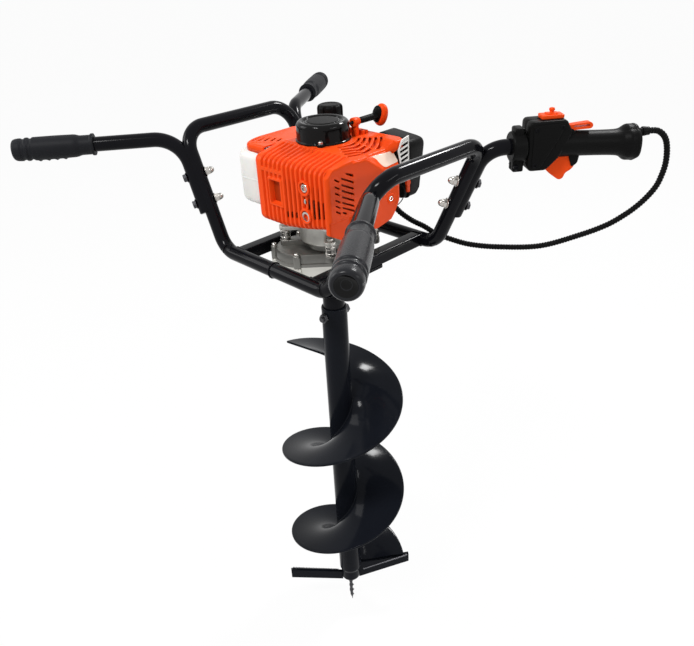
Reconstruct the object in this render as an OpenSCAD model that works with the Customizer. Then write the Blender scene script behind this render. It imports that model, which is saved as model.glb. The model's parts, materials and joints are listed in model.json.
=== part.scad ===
/* [Drill] */
// Length of the drill from the pilot tip to the top of its tube
drill_len = 800; // [700:5:1000]
// Outside diameter of the drill tube
drill_tube_d = 48; // [44:1:60]
// Wall of the drill tube
drill_tube_wall = 4; // [3:0.5:6]
// Outside diameter of the flight
flight_d = 250; // [150:2:300]
// Height that the flight climbs in one turn
flight_pitch = 232; // [150:1:260]
// Turns of the flight
flight_turns = 2.4; // [1.5:0.1:2.6]
// Thickness of the flight plate
flight_t = 5; // [3:0.5:8]
// Height of the flight's lower edge above the pilot tip
flight_z = 119; // [95:1:140]
// Width of a cutter blade across its cutting edge
blade_w = 34; // [24:1:45]
// Thickness of a cutter blade
blade_t = 8; // [5:0.5:12]
// Reach of a blade past the flight
blade_proud = 6; // [2:0.5:12]
// Length of the pilot point below the drill tube
pilot_len = 70; // [50:1:90]
// Diameter of the coupling bolt
coupling_bolt_d = 10; // [8:1:14]

/* [Frame] */
// Outside diameter of the frame and handle tubes
tube_d = 25; // [22:0.5:28]
// Wall of the frame and handle tubes
tube_wall = 2; // [1.5:0.1:3]
// Half of the base's length between the loops, at the tube centres
base_half_x = 133; // [128:1:160]
// Half of the base's width, at the tube centres
base_half_y = 128; // [122:1:150]
// Rise of a loop's top bar above the base
loop_rise = 195; // [180:1:230]
// Outward lean of a loop's top bar
loop_lean = 97; // [80:1:120]
// Inward taper of a loop from its base corner to its top corner
loop_taper = 10; // [0:1:20]
// Bend radius of the frame tube at its centre line
frame_bend_r = 42; // [36:1:48]
// Side of the square cross bars
cross_bar_side = 22; // [18:1:24]
// Gap between a cross bar and the gearbox
cross_bar_gap = 3; // [1:0.5:8]
// Thickness of the plates that carry the gearbox
plate_t = 6; // [4:0.5:8]

/* [Handles] */
// Splay of the left, back, front and throttle handles from the frame's long axis
handle_splay = [52, 55, 52, 52]; // [48:1:58]
// Reach of a grip's end from the handle's corner
handle_reach = 280; // [250:1:320]
// Bend radius of a handle tube
handle_bend_r = 60; // [50:1:70]
// Bend radius of the throttle handle's tube
throttle_bend_r = 40; // [36:1:44]
// Distance of a handle's lower part from the axis of its leg
handle_nest = 9; // [7:0.5:11]
// Length of a rubber grip
grip_len = 135; // [110:1:150]
// Largest diameter of a rubber grip
grip_d = 39; // [35:0.5:44]
// Diameter of the handle bolts
handle_bolt_d = 8; // [6:1:10]

/* [Throttle grip] */
// Diameter of the throttle grip
throttle_grip_d = 41; // [38:0.5:46]
// Width of the throttle housing
throttle_w = 40; // [36:1:46]
// Squeeze of the trigger in degrees, for the room under the grip
trigger_swing = 14; // [8:1:16]
// Outside diameter of the throttle cable's ribbed conduit
cable_d = 10; // [8:0.5:11]
// Bore of the conduit
cable_bore = 6; // [4:0.5:6.5]
// Ribs on the conduit
cable_ribs = 130; // [60:1:160]

/* [Gearbox] */
// Module of the gear teeth
gear_module = 1.5; // [1.4:0.05:1.6]
// Teeth of each pinion
pinion_teeth = 10; // [9:1:12]
// Teeth of each wheel
wheel_teeth = 54; // [50:1:56]
// Wall of the gearbox
gearbox_wall = 4; // [3:0.5:5]
// Diameter of the output shaft in its bearings
output_d = 25; // [22:1:28]
// Diameter of the pillars under the engine
pillar_d = 18; // [14:1:20]
// Height of the pillars
pillar_h = 18; // [14:1:24]

/* [Engine] */
// Bore of the cylinder
bore_d = 44; // [38:0.5:46]
// Stroke of the piston
stroke = 34; // [26:1:36]
// Diameter of the crankshaft
crank_d = 15; // [13:0.5:17]
// Length of the connecting rod between centres
rod_len = 60; // [58:1:66]
// Diameter of the starter's round cap
recoil_d = 85; // [78:1:92]
// Height of the starter's round cap
recoil_h = 31; // [28:1:40]
// Grooves in the muffler guard
guard_grooves = 13; // [6:1:16]
// Slots in each row of the cylinder cover
cover_slots = 7; // [4:1:9]
// Wall of the orange covers
cover_wall = 2.5; // [2:0.25:4]
// Diameter of the fuel cap
fuel_cap_d = 46; // [40:1:52]
// Bore of the exhaust outlet
exhaust_bore = 12; // [8:0.5:14]

/* [Hidden] */

$fn = 48;
// Overlap that lets a cut pass cleanly through a face
cut = 1;
// Radial clearance of a shaft that turns in its bearing
run_clear = 0.05;
// Clearance of pieces that are put together and stay put
fit_gap = 0.05;
// Least gap between pieces that move past each other
move_gap = 0.5;

black = "#1b1b1d";
rubber = "#2c2e31";
orange = "#e8501c";
cast_metal = "#b9bab4";
steel = "#c9ccd0";
dark_steel = "#5b5d62";
tank_white = "#eceae2";

// Heights of the stack, from the pilot tip up
shaft_show = 21;
neck_h = 34;
box_floor = 12;
drop_below_frame = 56;
frame_z = drill_len + shaft_show + neck_h + drop_below_frame - 1;
parting_z = frame_z - 16;
box_bottom_z = frame_z - drop_below_frame;
neck_bottom_z = box_bottom_z - neck_h;
cover_top_z = frame_z + 7;
seat_z = frame_z + 20;
arm_z = frame_z + 17;
pillar_top_z = arm_z + pillar_h;
clutch_top_z = frame_z + 65;
crank_z = frame_z + 105;
case_top_z = crank_z + 45;
shroud_top_z = frame_z + 190;
shroud_skirt = 14;

function unit(v) = v / norm(v);
function square_to(v, axis) = unit(v - axis * (v * axis));
function turn_of(a, c, b) = acos(unit(c - a) * unit(b - c));
function bend_back(a, c, b, r) = r * tan(turn_of(a, c, b) / 2);

// Placement whose z axis runs along d and whose x axis leans towards x0
module along(p, d, x0 = [0, 0, 1]) {
    z = unit(d);
    y = unit(cross(z, x0));
    x = cross(y, z);
    multmatrix([
        [x[0], y[0], z[0], p[0]],
        [x[1], y[1], z[1], p[1]],
        [x[2], y[2], z[2], p[2]],
        [0, 0, 0, 1]
    ]) children();
}

function any_side(d) = abs(unit(d)[2]) > 0.9 ? [1, 0, 0] : [0, 0, 1];

module annulus(d, bore) {
    difference() {
        circle(d = d);
        if (bore > 0) circle(d = bore);
    }
}

module rod(a, b, d, bore = 0) {
    along(a, b - a, any_side(b - a)) linear_extrude(norm(b - a)) annulus(d, bore);
}

// A bend thins a little, and laps into the straight runs on both sides of it
bend_thin = 0.15;
bend_lap = 0.5;
module bend(a, c, b, d, r, bore = 0) {
    u = unit(c - a);
    w = unit(cross(u, unit(b - c)));
    start = c - u * bend_back(a, c, b, r);
    centre = start + cross(w, u) * r;
    lap = asin(bend_lap / r);
    along(centre, w, start - centre) rotate(-lap)
        rotate_extrude(angle = turn_of(a, c, b) + 2 * lap)
            translate([r, 0]) annulus(d - 2 * bend_thin, bore > 0 ? bore + 2 * bend_thin : 0);
}

// Round bar along the points p, bent to the radius r at each corner, with a bore if it is a tube
module bent_rod(p, d, r, bore = 0) {
    n = len(p);
    for (i = [0 : n - 2]) {
        u = unit(p[i + 1] - p[i]);
        from = i > 0 ? bend_back(p[i - 1], p[i], p[i + 1], r) : 0;
        to = i < n - 2 ? bend_back(p[i], p[i + 1], p[i + 2], r) : 0;
        rod(p[i] + u * from, p[i + 1] - u * to, d, bore);
    }
    for (i = [1 : n - 2]) bend(p[i - 1], p[i], p[i + 1], d, r, bore);
}

module ring(od, id, h) {
    difference() {
        cylinder(d = od, h = h);
        translate([0, 0, -cut]) cylinder(d = id, h = h + 2 * cut);
    }
}

module box(lo, hi) {
    translate(lo) cube(hi - lo);
}

module hex_bar(flats, h) {
    cylinder(d = flats / cos(30), h = h, $fn = 6);
}

// Plate outline with the corners of a rectangle rounded to r
module round_rect(lo, hi, r) {
    translate([lo[0] + r, lo[1]]) square([hi[0] - lo[0] - 2 * r, hi[1] - lo[1]]);
    translate([lo[0], lo[1] + r]) square([hi[0] - lo[0], hi[1] - lo[1] - 2 * r]);
    for (x = [lo[0] + r, hi[0] - r], y = [lo[1] + r, hi[1] - r]) translate([x, y]) circle(r = r);
}

// Frame
function leg_base(sx, sy) = [sx * base_half_x, sy * base_half_y, frame_z];
function leg_top(sx, sy) =
    [sx * (base_half_x + loop_lean), sy * (base_half_y - loop_taper), frame_z + loop_rise];
function leg_at(sx, sy, s) = leg_base(sx, sy) * (1 - s) + leg_top(sx, sy) * s;
function leg_dir(sx, sy) = unit(leg_top(sx, sy) - leg_base(sx, sy));
function loop_path(sx) = [
    [0, -base_half_y, frame_z], leg_base(sx, -1), leg_top(sx, -1),
    leg_top(sx, 1), leg_base(sx, 1), [0, base_half_y, frame_z]
];

// Handles: the sign of x, the sign of y and the splay of each
HANDLES = [[-1, -1, handle_splay[0]], [-1, 1, handle_splay[1]],
           [1, -1, handle_splay[2]], [1, 1, handle_splay[3]]];
bolt_places = [0.42, 0.64];
corner_place = 0.95;
foot_place = 0.33;
function handle_dir(h) = [h[0] * cos(h[2]), h[1] * sin(h[2]), 0];
function handle_side(h) = square_to(handle_dir(h), leg_dir(h[0], h[1]));
function handle_corner(h) = leg_at(h[0], h[1], corner_place) + handle_side(h) * handle_nest;
function handle_foot(h) = leg_at(h[0], h[1], foot_place) + handle_side(h) * handle_nest;
function handle_point(h, t) = handle_corner(h) + handle_dir(h) * t;

washer_t = 1.6;
handle_nut_h = 6.5;
handle_head_h = 5.5;
handle_flats = handle_bolt_d + 5;

module frame_half(sx) {
    color(black) difference() {
        bent_rod(loop_path(sx), tube_d, frame_bend_r, tube_d - 2 * tube_wall);
        for (h = HANDLES) if (h[0] == sx) bolt_holes(h);
    }
}

module bolt_holes(h) {
    for (s = bolt_places) {
        p = leg_at(h[0], h[1], s);
        rod(p - handle_side(h) * tube_d, p + handle_side(h) * 2 * tube_d, handle_bolt_d + 2 * fit_gap);
    }
}

module frame_half_left() frame_half(-1);
module frame_half_right() frame_half(1);

plate_top_z = frame_z - cross_bar_side / 2;
ear_top_z = plate_top_z - plate_t;
right_ear_bolts = [[66, -12], [66, 12]];
left_ear_bolts = [[-74, 18], [-74, 38]];
ear_bolt_d = 6;

module cross_bars() {
    color(black) for (sx = [-1, 1]) difference() {
        union() {
            translate([sx * bar_x, 0, frame_z])
                cube([cross_bar_side, 2 * base_half_y, cross_bar_side], center = true);
            plate = sx > 0 ? right_plate : left_plate;
            translate([0, 0, ear_top_z]) linear_extrude(plate_t)
                translate(plate[0]) square(plate[1] - plate[0]);
        }
        bent_rod(loop_path(sx), tube_d, frame_bend_r);
        for (p = concat(right_ear_bolts, left_ear_bolts))
            translate([p[0], p[1], ear_top_z - cut])
                cylinder(d = ear_bolt_d + 2 * fit_gap, h = plate_t + 2 * cut);
    }
}

grip_end_t = 4;
module handle_tube(h, end_t, r = handle_bend_r) {
    bend_end = bend_back(handle_foot(h), handle_corner(h), handle_point(h, end_t), r);
    color(black) difference() {
        bent_rod([handle_foot(h), handle_corner(h), handle_point(h, end_t)], tube_d, r);
        rod(handle_point(h, bend_end), handle_point(h, end_t + cut), tube_d - 2 * tube_wall);
        bent_rod([leg_base(h[0], h[1]), leg_top(h[0], h[1]), leg_top(h[0], -h[1])], tube_d, frame_bend_r);
        bolt_holes(h);
    }
}

module handle_tube_left() handle_tube(HANDLES[0], handle_reach - grip_end_t);
module handle_tube_back() handle_tube(HANDLES[1], handle_reach - grip_end_t);
module handle_tube_front() handle_tube(HANDLES[2], handle_reach - grip_end_t);
module handle_tube_throttle() handle_tube(HANDLES[3], throttle_tube_end, throttle_bend_r);

// Grip profile: collar, waist, swell, two ridges and a rounded end, about the tube
module grip(h) {
    r = grip_d / 2;
    end_r = 6;
    color(rubber) along(handle_point(h, handle_reach - grip_len), handle_dir(h)) difference() {
        rotate_extrude() {
            polygon([
                [0, 0], [r - 2, 0], [r - 2, 4], [r - 3, 6], [r - 3, 24], [r - 1, 45], [r, 70],
                [r, grip_len - 34], [r - 2, grip_len - 32], [r - 2, grip_len - 28], [r, grip_len - 26],
                [r, grip_len - 22], [r - 2, grip_len - 20], [r - 2, grip_len - 16], [r, grip_len - 14],
                [r, grip_len - end_r], [r - end_r, grip_len], [0, grip_len]
            ]);
            intersection() {
                translate([r - end_r, grip_len - end_r]) circle(r = end_r);
                square([r, grip_len]);
            }
        }
        translate([0, 0, -cut]) cylinder(d = tube_d + 2 * fit_gap, h = grip_len - grip_end_t + cut);
    }
}

module left_grip() grip(HANDLES[0]);
module back_grip() grip(HANDLES[1]);
module front_grip() grip(HANDLES[2]);

module acorn_nut() {
    difference() {
        union() {
            hex_bar(handle_flats, handle_nut_h);
            translate([0, 0, handle_nut_h]) intersection() {
                sphere(d = handle_flats - 1);
                cylinder(d = handle_flats, h = handle_flats);
            }
        }
        translate([0, 0, -cut]) cylinder(d = handle_bolt_d + 2 * fit_gap, h = handle_nut_h + cut);
    }
}

module handle_fasteners() {
    outer = handle_nest + tube_d / 2;
    inner = -tube_d / 2 - washer_t - fit_gap;
    color(steel) for (h = HANDLES, s = bolt_places) along(leg_at(h[0], h[1], s), handle_side(h)) {
        translate([0, 0, outer]) hex_bar(handle_flats, handle_head_h);
        translate([0, 0, inner - handle_nut_h + cut])
            cylinder(d = handle_bolt_d, h = outer - inner + handle_nut_h - cut / 2);
        translate([0, 0, -tube_d / 2 - washer_t])
            ring(handle_flats + 5, handle_bolt_d + 4 * fit_gap, washer_t);
        translate([0, 0, inner - fit_gap]) mirror([0, 0, 1]) acorn_nut();
    }
}

// Throttle grip, placed along its handle: z runs out along the tube, x up and y to the side
THROTTLE = HANDLES[3];
clamp_t = [33, 56];
block_t = [58, 128];
grip_t = [128, 250];
throttle_tube_end = 216;
block_top = 40;
block_bottom = -36;
grip_r = throttle_grip_d / 2;
trigger_pivot = [-25, 99];
trigger_pin_d = 5;
trigger_w = 12;
lock_pivot = [29, 135];
lock_pin_d = 4;
lock_w = 12;
cheek_t = 4;
cable_exit = [8, 250];
boot_len = 12;
boot_d = 15;

module on_throttle() along(handle_corner(THROTTLE), handle_dir(THROTTLE)) children();

// Side view of the housing, as height above the tube's axis and distance along it
module side_plate(points, w) {
    rotate([90, 0, 0]) translate([0, 0, -w / 2]) linear_extrude(w) polygon(points);
}

module throttle_body() {
    difference() {
        union() {
            side_plate([
                [block_bottom, block_t[0]], [block_top - 3, block_t[0]], [block_top, block_t[0] + 4],
                [block_top, block_t[1] - 6], [grip_r, block_t[1] + 4], [-grip_r + 4, 112],
                [block_bottom, block_t[0] + 34]
            ], throttle_w);
            translate([0, 0, block_t[1] - 18]) rotate_extrude() polygon([
                [0, 0], [grip_r, 0], [grip_r - 1, 60], [grip_r, 106], [grip_r + 7, 122],
                [grip_r + 7, 134], [grip_r + 4, 140], [0, 140]
            ]);
            for (side = [-1, 1]) translate([0, side * (lock_w / 2 + move_gap + cheek_t / 2), 0])
                side_plate([
                    [grip_r - 4, block_t[1] - 8], [block_top - 4, block_t[1] - 8],
                    [block_top - 4, lock_pivot[1] + 4], [grip_r - 4, lock_pivot[1] + 12]
                ], cheek_t);
        }
        translate([0, 0, block_t[0] - cut])
            cylinder(d = tube_d + 2 * fit_gap, h = throttle_tube_end - block_t[0] + 2 * cut);
        translate([cable_exit[0], 0, cable_exit[1] - 20]) cylinder(d = cable_bore, h = 30);
        trigger_room();
        lock_room();
        pin_at(trigger_pivot, trigger_pin_d + 2 * run_clear, throttle_w + 2 * cut);
        pin_at(lock_pivot, lock_pin_d + 2 * run_clear, throttle_w + 2 * cut);
        for (p = housing_screws) pin_at(p, screw_d + 2 * fit_gap, throttle_w + 2 * cut);
    }
}

module pin_at(p, d, w) {
    translate([p[0], 0, p[1]]) rotate([90, 0, 0]) cylinder(d = d, h = w, center = true);
}

housing_screws = [[30, 68], [-28, 66], [30, 112]];
screw_d = 4;

trigger_hub_r = 7;
module trigger_room() {
    w = trigger_w + 2 * move_gap;
    pin_at(trigger_pivot, 2 * (trigger_hub_r + move_gap), w);
    side_plate([[-60, 84], [trigger_pivot[0] - 4, 84], [trigger_pivot[0] + 7.5, trigger_pivot[1]],
                [-grip_r + 1, 122], [-60, 150]], w);
}

module lock_room() {
    w = lock_w + 2 * move_gap;
    side_plate([[grip_r + move_gap, 120], [block_top + cut, 120], [block_top + cut, 190],
                [grip_r + move_gap, 190]], w);
}

module throttle_half(side) {
    color(black) on_throttle() intersection() {
        throttle_body();
        translate([-100, side > 0 ? 0 : -100, 0]) cube([200, 100, 300]);
    }
}

module throttle_housing() throttle_half(-1);
module throttle_cover() throttle_half(1);

clamp_d = tube_d + 22;
clamp_lug = [-38, -18];
module throttle_clamp() {
    mid = (clamp_t[0] + clamp_t[1]) / 2;
    color(black) on_throttle() difference() {
        union() {
            translate([0, 0, clamp_t[0]]) cylinder(d = clamp_d, h = clamp_t[1] - clamp_t[0]);
            box([clamp_lug[0], -10, clamp_t[0] + 4], [clamp_lug[1], 10, clamp_t[1]]);
        }
        translate([0, 0, clamp_t[0] - cut])
            cylinder(d = tube_d + 2 * fit_gap, h = clamp_t[1] - clamp_t[0] + 2 * cut);
        box([clamp_lug[0] - cut, -1.5, clamp_t[0] - cut], [-tube_d / 4, 1.5, clamp_t[1] + cut]);
        pin_at([clamp_lug[0] + 8, mid + 2], screw_d + 2 * fit_gap, 40);
    }
}

module throttle_screws() {
    mid = (clamp_t[0] + clamp_t[1]) / 2;
    head_t = 3;
    color(dark_steel) on_throttle() {
        for (p = housing_screws) {
            pin_at(p, screw_d, throttle_w);
            translate([p[0], throttle_w / 2, p[1]]) rotate([-90, 0, 0]) cylinder(d = 7, h = head_t);
        }
        pin_at(trigger_pivot, trigger_pin_d, throttle_w);
        pin_at(lock_pivot, lock_pin_d, lock_w + 2 * move_gap + 2 * cheek_t);
        pin_at([clamp_lug[0] + 8, mid + 2], screw_d, 20);
        translate([clamp_lug[0] + 8, 10, mid + 2]) rotate([-90, 0, 0]) cylinder(d = 7.5, h = 4);
    }
}

// Finger trigger: hub, a long upper edge that closes up to the grip, and a hooked toe
module throttle_trigger() {
    p = trigger_pivot;
    color(orange) on_throttle() difference() {
        union() {
            pin_at(p, 2 * trigger_hub_r, trigger_w);
            side_plate([
                [p[0] + 6.9, p[1] + 1], [p[0] - 8, p[1] + 41], [p[0] - 13, p[1] + 42], [p[0] - 17, p[1] + 36],
                [p[0] - 20, p[1] + 28], [p[0] - 27, p[1] + 24], [p[0] - 28, p[1] + 20],
                [p[0] - 20, p[1] + 10], [p[0] - 10, p[1] + 2], [p[0] - 6.9, p[1] - 1]
            ], trigger_w);
        }
        pin_at(p, trigger_pin_d + 2 * run_clear, trigger_w + 2 * cut);
    }
}

// Lock lever on top of the grip: a hub and a thumb bar that stands a little off the grip
module lock_lever() {
    p = lock_pivot;
    color(orange) on_throttle() difference() {
        union() {
            pin_at(p, 10, lock_w);
            side_plate([
                [p[0] - 4, p[1] + 2], [p[0] - 1, p[1] + 38], [p[0] + 4, p[1] + 38], [p[0] + 5, p[1]]
            ], lock_w);
        }
        pin_at(p, lock_pin_d + 2 * run_clear, lock_w + 2 * cut);
    }
}

switch_t = [86, 114];
switch_travel = 5;
module kill_switch() {
    foot = block_top + 0.3;
    color(orange) on_throttle() {
        box([foot, -10, switch_t[0]], [foot + 4, 10, switch_t[1]]);
        box([foot + 4, -6, switch_t[0] + 10], [foot + 9, 6, switch_t[1] - 8]);
    }
}

// Throttle cable: from the grip's end down in a loop, past the right corner and up to the carburettor
carb_boot = [64, 92, 84];
boot_taper = 2;
cable_points = [
    [400, 344, 190], [406, 351, 184], [410, 357, 174], [412, 361, 161], [413, 363, 147], [413, 363, 132],
    [411, 361, 116], [407, 358, 99], [399, 352, 82], [387, 344, 64], [372, 333, 47], [350, 317, 28],
    [316, 292, 9], [265, 254, -12], [209, 214, -16], [167, 185, -13], [138, 165, -4], [115, 149, 7],
    [99, 138, 19], [84, 123, 31], [73, 108, 46], [67, 98, 59]
];
function throttle_place(x, z) = handle_corner(THROTTLE) + handle_dir(THROTTLE) * z + [0, 0, x];
cable_start = throttle_place(cable_exit[0], cable_exit[1] + boot_len + 2 * fit_gap);
cable_end = [carb_boot[0], carb_boot[1], frame_z + carb_boot[2] - boot_len];
cable_lead = 6;
cable_route = concat(
    [cable_start, cable_start + handle_dir(THROTTLE) * cable_lead],
    [for (p = cable_points) [p[0], p[1], p[2] + frame_z]],
    [cable_end - [0, 0, cable_lead], cable_end]
);
// Table of span number against the chord length walked so far, so that ribs keep their step
function walk(p, i = 0, s = 0, out = []) =
    i == len(p) - 1 ? concat(out, [[s, i]])
    : walk(p, i + 1, s + norm(p[i + 1] - p[i]), concat(out, [[s, i]]));
route_walk = walk(cable_route);
route_len = route_walk[len(route_walk) - 1][0];
function walk_at(f) = lookup(f * route_len, route_walk);
// Smooth curve through the route's points, at u from 0 to the number of spans
function route_at(u) =
    let (n = len(cable_route) - 1, i = min(floor(u), n - 1), t = u - i,
         b = cable_route[i], c = cable_route[i + 1],
         a = i > 0 ? cable_route[i - 1] : 2 * b - c,
         d = i < n - 1 ? cable_route[i + 2] : 2 * c - b)
    0.5 * (2 * b + (c - a) * t + (2 * a - 5 * b + 4 * c - d) * t * t + (3 * b - a - 3 * c + d) * t * t * t);
cable_steps = 2 * cable_ribs;
function route_dir(u) =
    let (n = len(cable_route) - 1, e = 0.02)
    unit(route_at(min(u + e, n)) - route_at(max(u - e, 0)));
function cable_ring(u, r, sides) =
    let (c = route_at(u), d = route_dir(u), side = unit(cross([0.6, -0.8, 0.05], d)), up = cross(d, side))
    [for (k = [0 : sides - 1]) c + r * (side * cos(360 * k / sides) + up * sin(360 * k / sides))];
cable_sides = 8;
cable_groove = 0.8;
cable_bore_rings = 70;

module throttle_cable() {
    s = cable_sides;
    outer = [for (i = [0 : cable_steps])
        cable_ring(walk_at(i / cable_steps), cable_d / 2 - (i % 2 == 0 ? cable_groove : 0), s)];
    inner = [for (i = [0 : cable_bore_rings]) cable_ring(walk_at(i / cable_bore_rings), cable_bore / 2, s)];
    points = [for (r = concat(outer, inner), p = r) p];
    base = s * (cable_steps + 1);
    far = s * cable_bore_rings + base;
    skin = [for (i = [0 : cable_steps - 1], k = [0 : s - 1], half = [0, 1])
        let (a = i * s + k, b = i * s + (k + 1) % s)
        half == 0 ? [a, b, b + s] : [a, b + s, a + s]];
    hole = [for (i = [0 : cable_bore_rings - 1], k = [0 : s - 1], half = [0, 1])
        let (a = base + i * s + k, b = base + i * s + (k + 1) % s)
        half == 0 ? [a, b + s, b] : [a, a + s, b + s]];
    near_end = [for (k = [0 : s - 1], half = [0, 1])
        let (a = k, b = (k + 1) % s)
        half == 0 ? [a, base + b, b] : [a, base + a, base + b]];
    far_end = [for (k = [0 : s - 1], half = [0, 1])
        let (a = cable_steps * s + k, b = cable_steps * s + (k + 1) % s, c = far + k, d = far + (k + 1) % s)
        half == 0 ? [a, b, d] : [a, d, c]];
    color(black) polyhedron(points, concat(skin, hole, near_end, far_end));
}

module cable_boot() {
    difference() {
        cylinder(d1 = boot_d, d2 = boot_d - boot_taper, h = boot_len);
        translate([0, 0, -cut]) cylinder(d = cable_bore, h = boot_len + 2 * cut);
    }
}

module cable_boots() {
    color(black) {
        along(throttle_place(cable_exit[0], cable_exit[1] + fit_gap), handle_dir(THROTTLE)) cable_boot();
        translate([carb_boot[0], carb_boot[1], frame_z + carb_boot[2]]) mirror([0, 0, 1]) cable_boot();
    }
}

// Gearbox: the input and output turn on the drill's axis, the counter shaft beside it
shaft_gap = gear_module * (pinion_teeth + wheel_teeth) / 2;
counter_angle = 226;
counter_at = [shaft_gap * cos(counter_angle), shaft_gap * sin(counter_angle)];
tooth_tip = 0.8 * gear_module;
tooth_root = 1.1 * gear_module;
wheel_tip_r = gear_module * wheel_teeth / 2 + tooth_tip;
lobe_r = wheel_tip_r + 2;
case_r = lobe_r + gearbox_wall;
// The cross bars stand beside the gearbox, wherever the base's corners are
bar_x = case_r - counter_at[0] + cross_bar_gap + cross_bar_side / 2;
right_plate = [[56, -22], [bar_x + cross_bar_side / 2, 22]];
left_plate = [[-bar_x - cross_bar_side / 2, 8], [-64, 48]];
high_gear_z = frame_z - 22;
low_gear_z = frame_z - 42;
high_gear_t = 10;
low_gear_t = 12;
cavity_top_z = frame_z - 9;
cavity_floor_z = box_bottom_z + box_floor;
counter_d = 12;
counter_bearing = [counter_d, 32, 9];
input_bearing = [crank_d, 35, 11];
output_bearing = [output_d, output_d + 27, 15];
output_neck_d = output_bearing[1] + 12;
boss_r = 6.5;
boss_reach = case_r + 2.5;
counter_boss_angles = [0, 80, -80];
axis_boss_angles = [112, 150, -150, -112];
ear_t = 10;

// Outline of two equal discs joined by a straight band
module twin_disc(r) {
    rotate(counter_angle) {
        circle(r = r);
        translate([shaft_gap, 0]) circle(r = r);
        translate([0, -r]) square([shaft_gap, 2 * r]);
    }
}

function boss_places() = concat(
    [for (a = counter_boss_angles) counter_at + boss_reach *
        [cos(counter_angle + a), sin(counter_angle + a)]],
    [for (a = axis_boss_angles) boss_reach * [cos(counter_angle + a), sin(counter_angle + a)]]
);

// Flat gear with n straight-sided teeth
module gear(n, h) {
    pitch_r = gear_module * n / 2;
    step = 360 / n;
    root_share = 0.34;
    tip_share = 0.11;
    linear_extrude(h) polygon([for (i = [0 : n - 1], k = [-2, -1, 1, 2])
        let (r = abs(k) == 2 ? pitch_r - tooth_root : pitch_r + tooth_tip,
             w = abs(k) == 2 ? root_share : tip_share,
             a = step * (i + sign(k) * w))
        r * [cos(a), sin(a)]]);
}

module boss(z, h) {
    for (p = boss_places()) translate([p[0], p[1], z]) cylinder(r = boss_r, h = h);
}

module boss_holes(z, h) {
    for (p = boss_places()) translate([p[0], p[1], z]) cylinder(d = screw_d + 2 * fit_gap, h = h);
}

boss_depth = 14;
module gearbox_lower() {
    color(cast_metal) difference() {
        union() {
            translate([0, 0, box_bottom_z]) linear_extrude(parting_z - box_bottom_z) twin_disc(case_r);
            boss(parting_z - boss_depth, boss_depth);
            translate([0, 0, neck_bottom_z]) cylinder(d = output_neck_d, h = neck_h + cut);
            box([30, right_plate[0][1], ear_top_z - ear_t],
                [right_ear_bolts[0][0] + 10, right_plate[1][1], ear_top_z]);
            box([left_ear_bolts[0][0] - 8, left_plate[0][1], ear_top_z - ear_t],
                [-20, left_plate[1][1], ear_top_z]);
        }
        translate([0, 0, cavity_floor_z]) linear_extrude(parting_z - cavity_floor_z + cut) twin_disc(lobe_r);
        translate([counter_at[0], counter_at[1], cavity_floor_z - counter_bearing[2]])
            cylinder(d = counter_bearing[1] + 2 * fit_gap, h = counter_bearing[2] + cut);
        translate([0, 0, neck_bottom_z - cut]) cylinder(d = output_d + 4, h = 200);
        for (z = output_bearing_z) translate([0, 0, z])
            cylinder(d = output_bearing[1] + 2 * fit_gap, h = output_bearing[2]);
        translate([0, 0, cavity_floor_z - output_bearing[2]])
            cylinder(d = output_bearing[1] + 2 * fit_gap, h = output_bearing[2] + cut);
        translate([0, 0, neck_bottom_z - cut])
            cylinder(d = output_bearing[1] + 2 * fit_gap, h = output_bearing[2] + cut);
        boss_holes(parting_z - boss_depth + 3, boss_depth);
        for (p = concat(right_ear_bolts, left_ear_bolts)) translate([p[0], p[1], ear_top_z - ear_t - cut])
            cylinder(d = ear_bolt_d + 2 * fit_gap, h = ear_t + 2 * cut);
    }
}
output_bearing_z = [neck_bottom_z, cavity_floor_z - output_bearing[2]];

pillar_places = [for (sx = [-1, 1], sy = [-1, 1]) [57 * sx, 52 * sy]];
pillar_bolt_d = 6;
arm_w = 16;
arm_end_d = 20;
clutch_case_d = 104;
clutch_case_wall = 5;
seat_t = 8;

module arms(z, h) {
    for (p = pillar_places) {
        translate([p[0], p[1], z]) cylinder(d = arm_end_d, h = h);
        translate([0, 0, z]) rotate(atan2(p[1], p[0])) translate([0, -arm_w / 2, 0])
            cube([norm(p), arm_w, h]);
    }
}

module pillar_holes(z, h) {
    for (p = pillar_places) translate([p[0], p[1], z]) cylinder(d = pillar_bolt_d + 2 * fit_gap, h = h);
}

module gearbox_upper() {
    neck_d = input_bearing[1] + 14;
    color(cast_metal) difference() {
        union() {
            translate([0, 0, parting_z]) linear_extrude(cover_top_z - parting_z) twin_disc(case_r);
            boss(parting_z, cover_top_z - parting_z);
            arms(cover_top_z - cut, arm_z - cover_top_z + cut);
            translate([0, 0, seat_z - seat_t]) cylinder(d = clutch_case_d, h = seat_t);
            translate([0, 0, cover_top_z - cut]) cylinder(d = neck_d, h = seat_z - cover_top_z + cut);
        }
        translate([0, 0, parting_z - cut]) linear_extrude(cavity_top_z - parting_z + cut) twin_disc(lobe_r);
        translate([counter_at[0], counter_at[1], cavity_top_z - cut])
            cylinder(d = counter_bearing[1] + 2 * fit_gap, h = counter_bearing[2] + cut);
        translate([0, 0, cavity_top_z - cut]) cylinder(d = input_bearing[0] + 6, h = 60);
        translate([0, 0, seat_z - input_bearing[2]])
            cylinder(d = input_bearing[1] + 2 * fit_gap, h = input_bearing[2] + cut);
        boss_holes(parting_z - cut, 40);
        pillar_holes(cover_top_z + 2, 40);
    }
}

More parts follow.
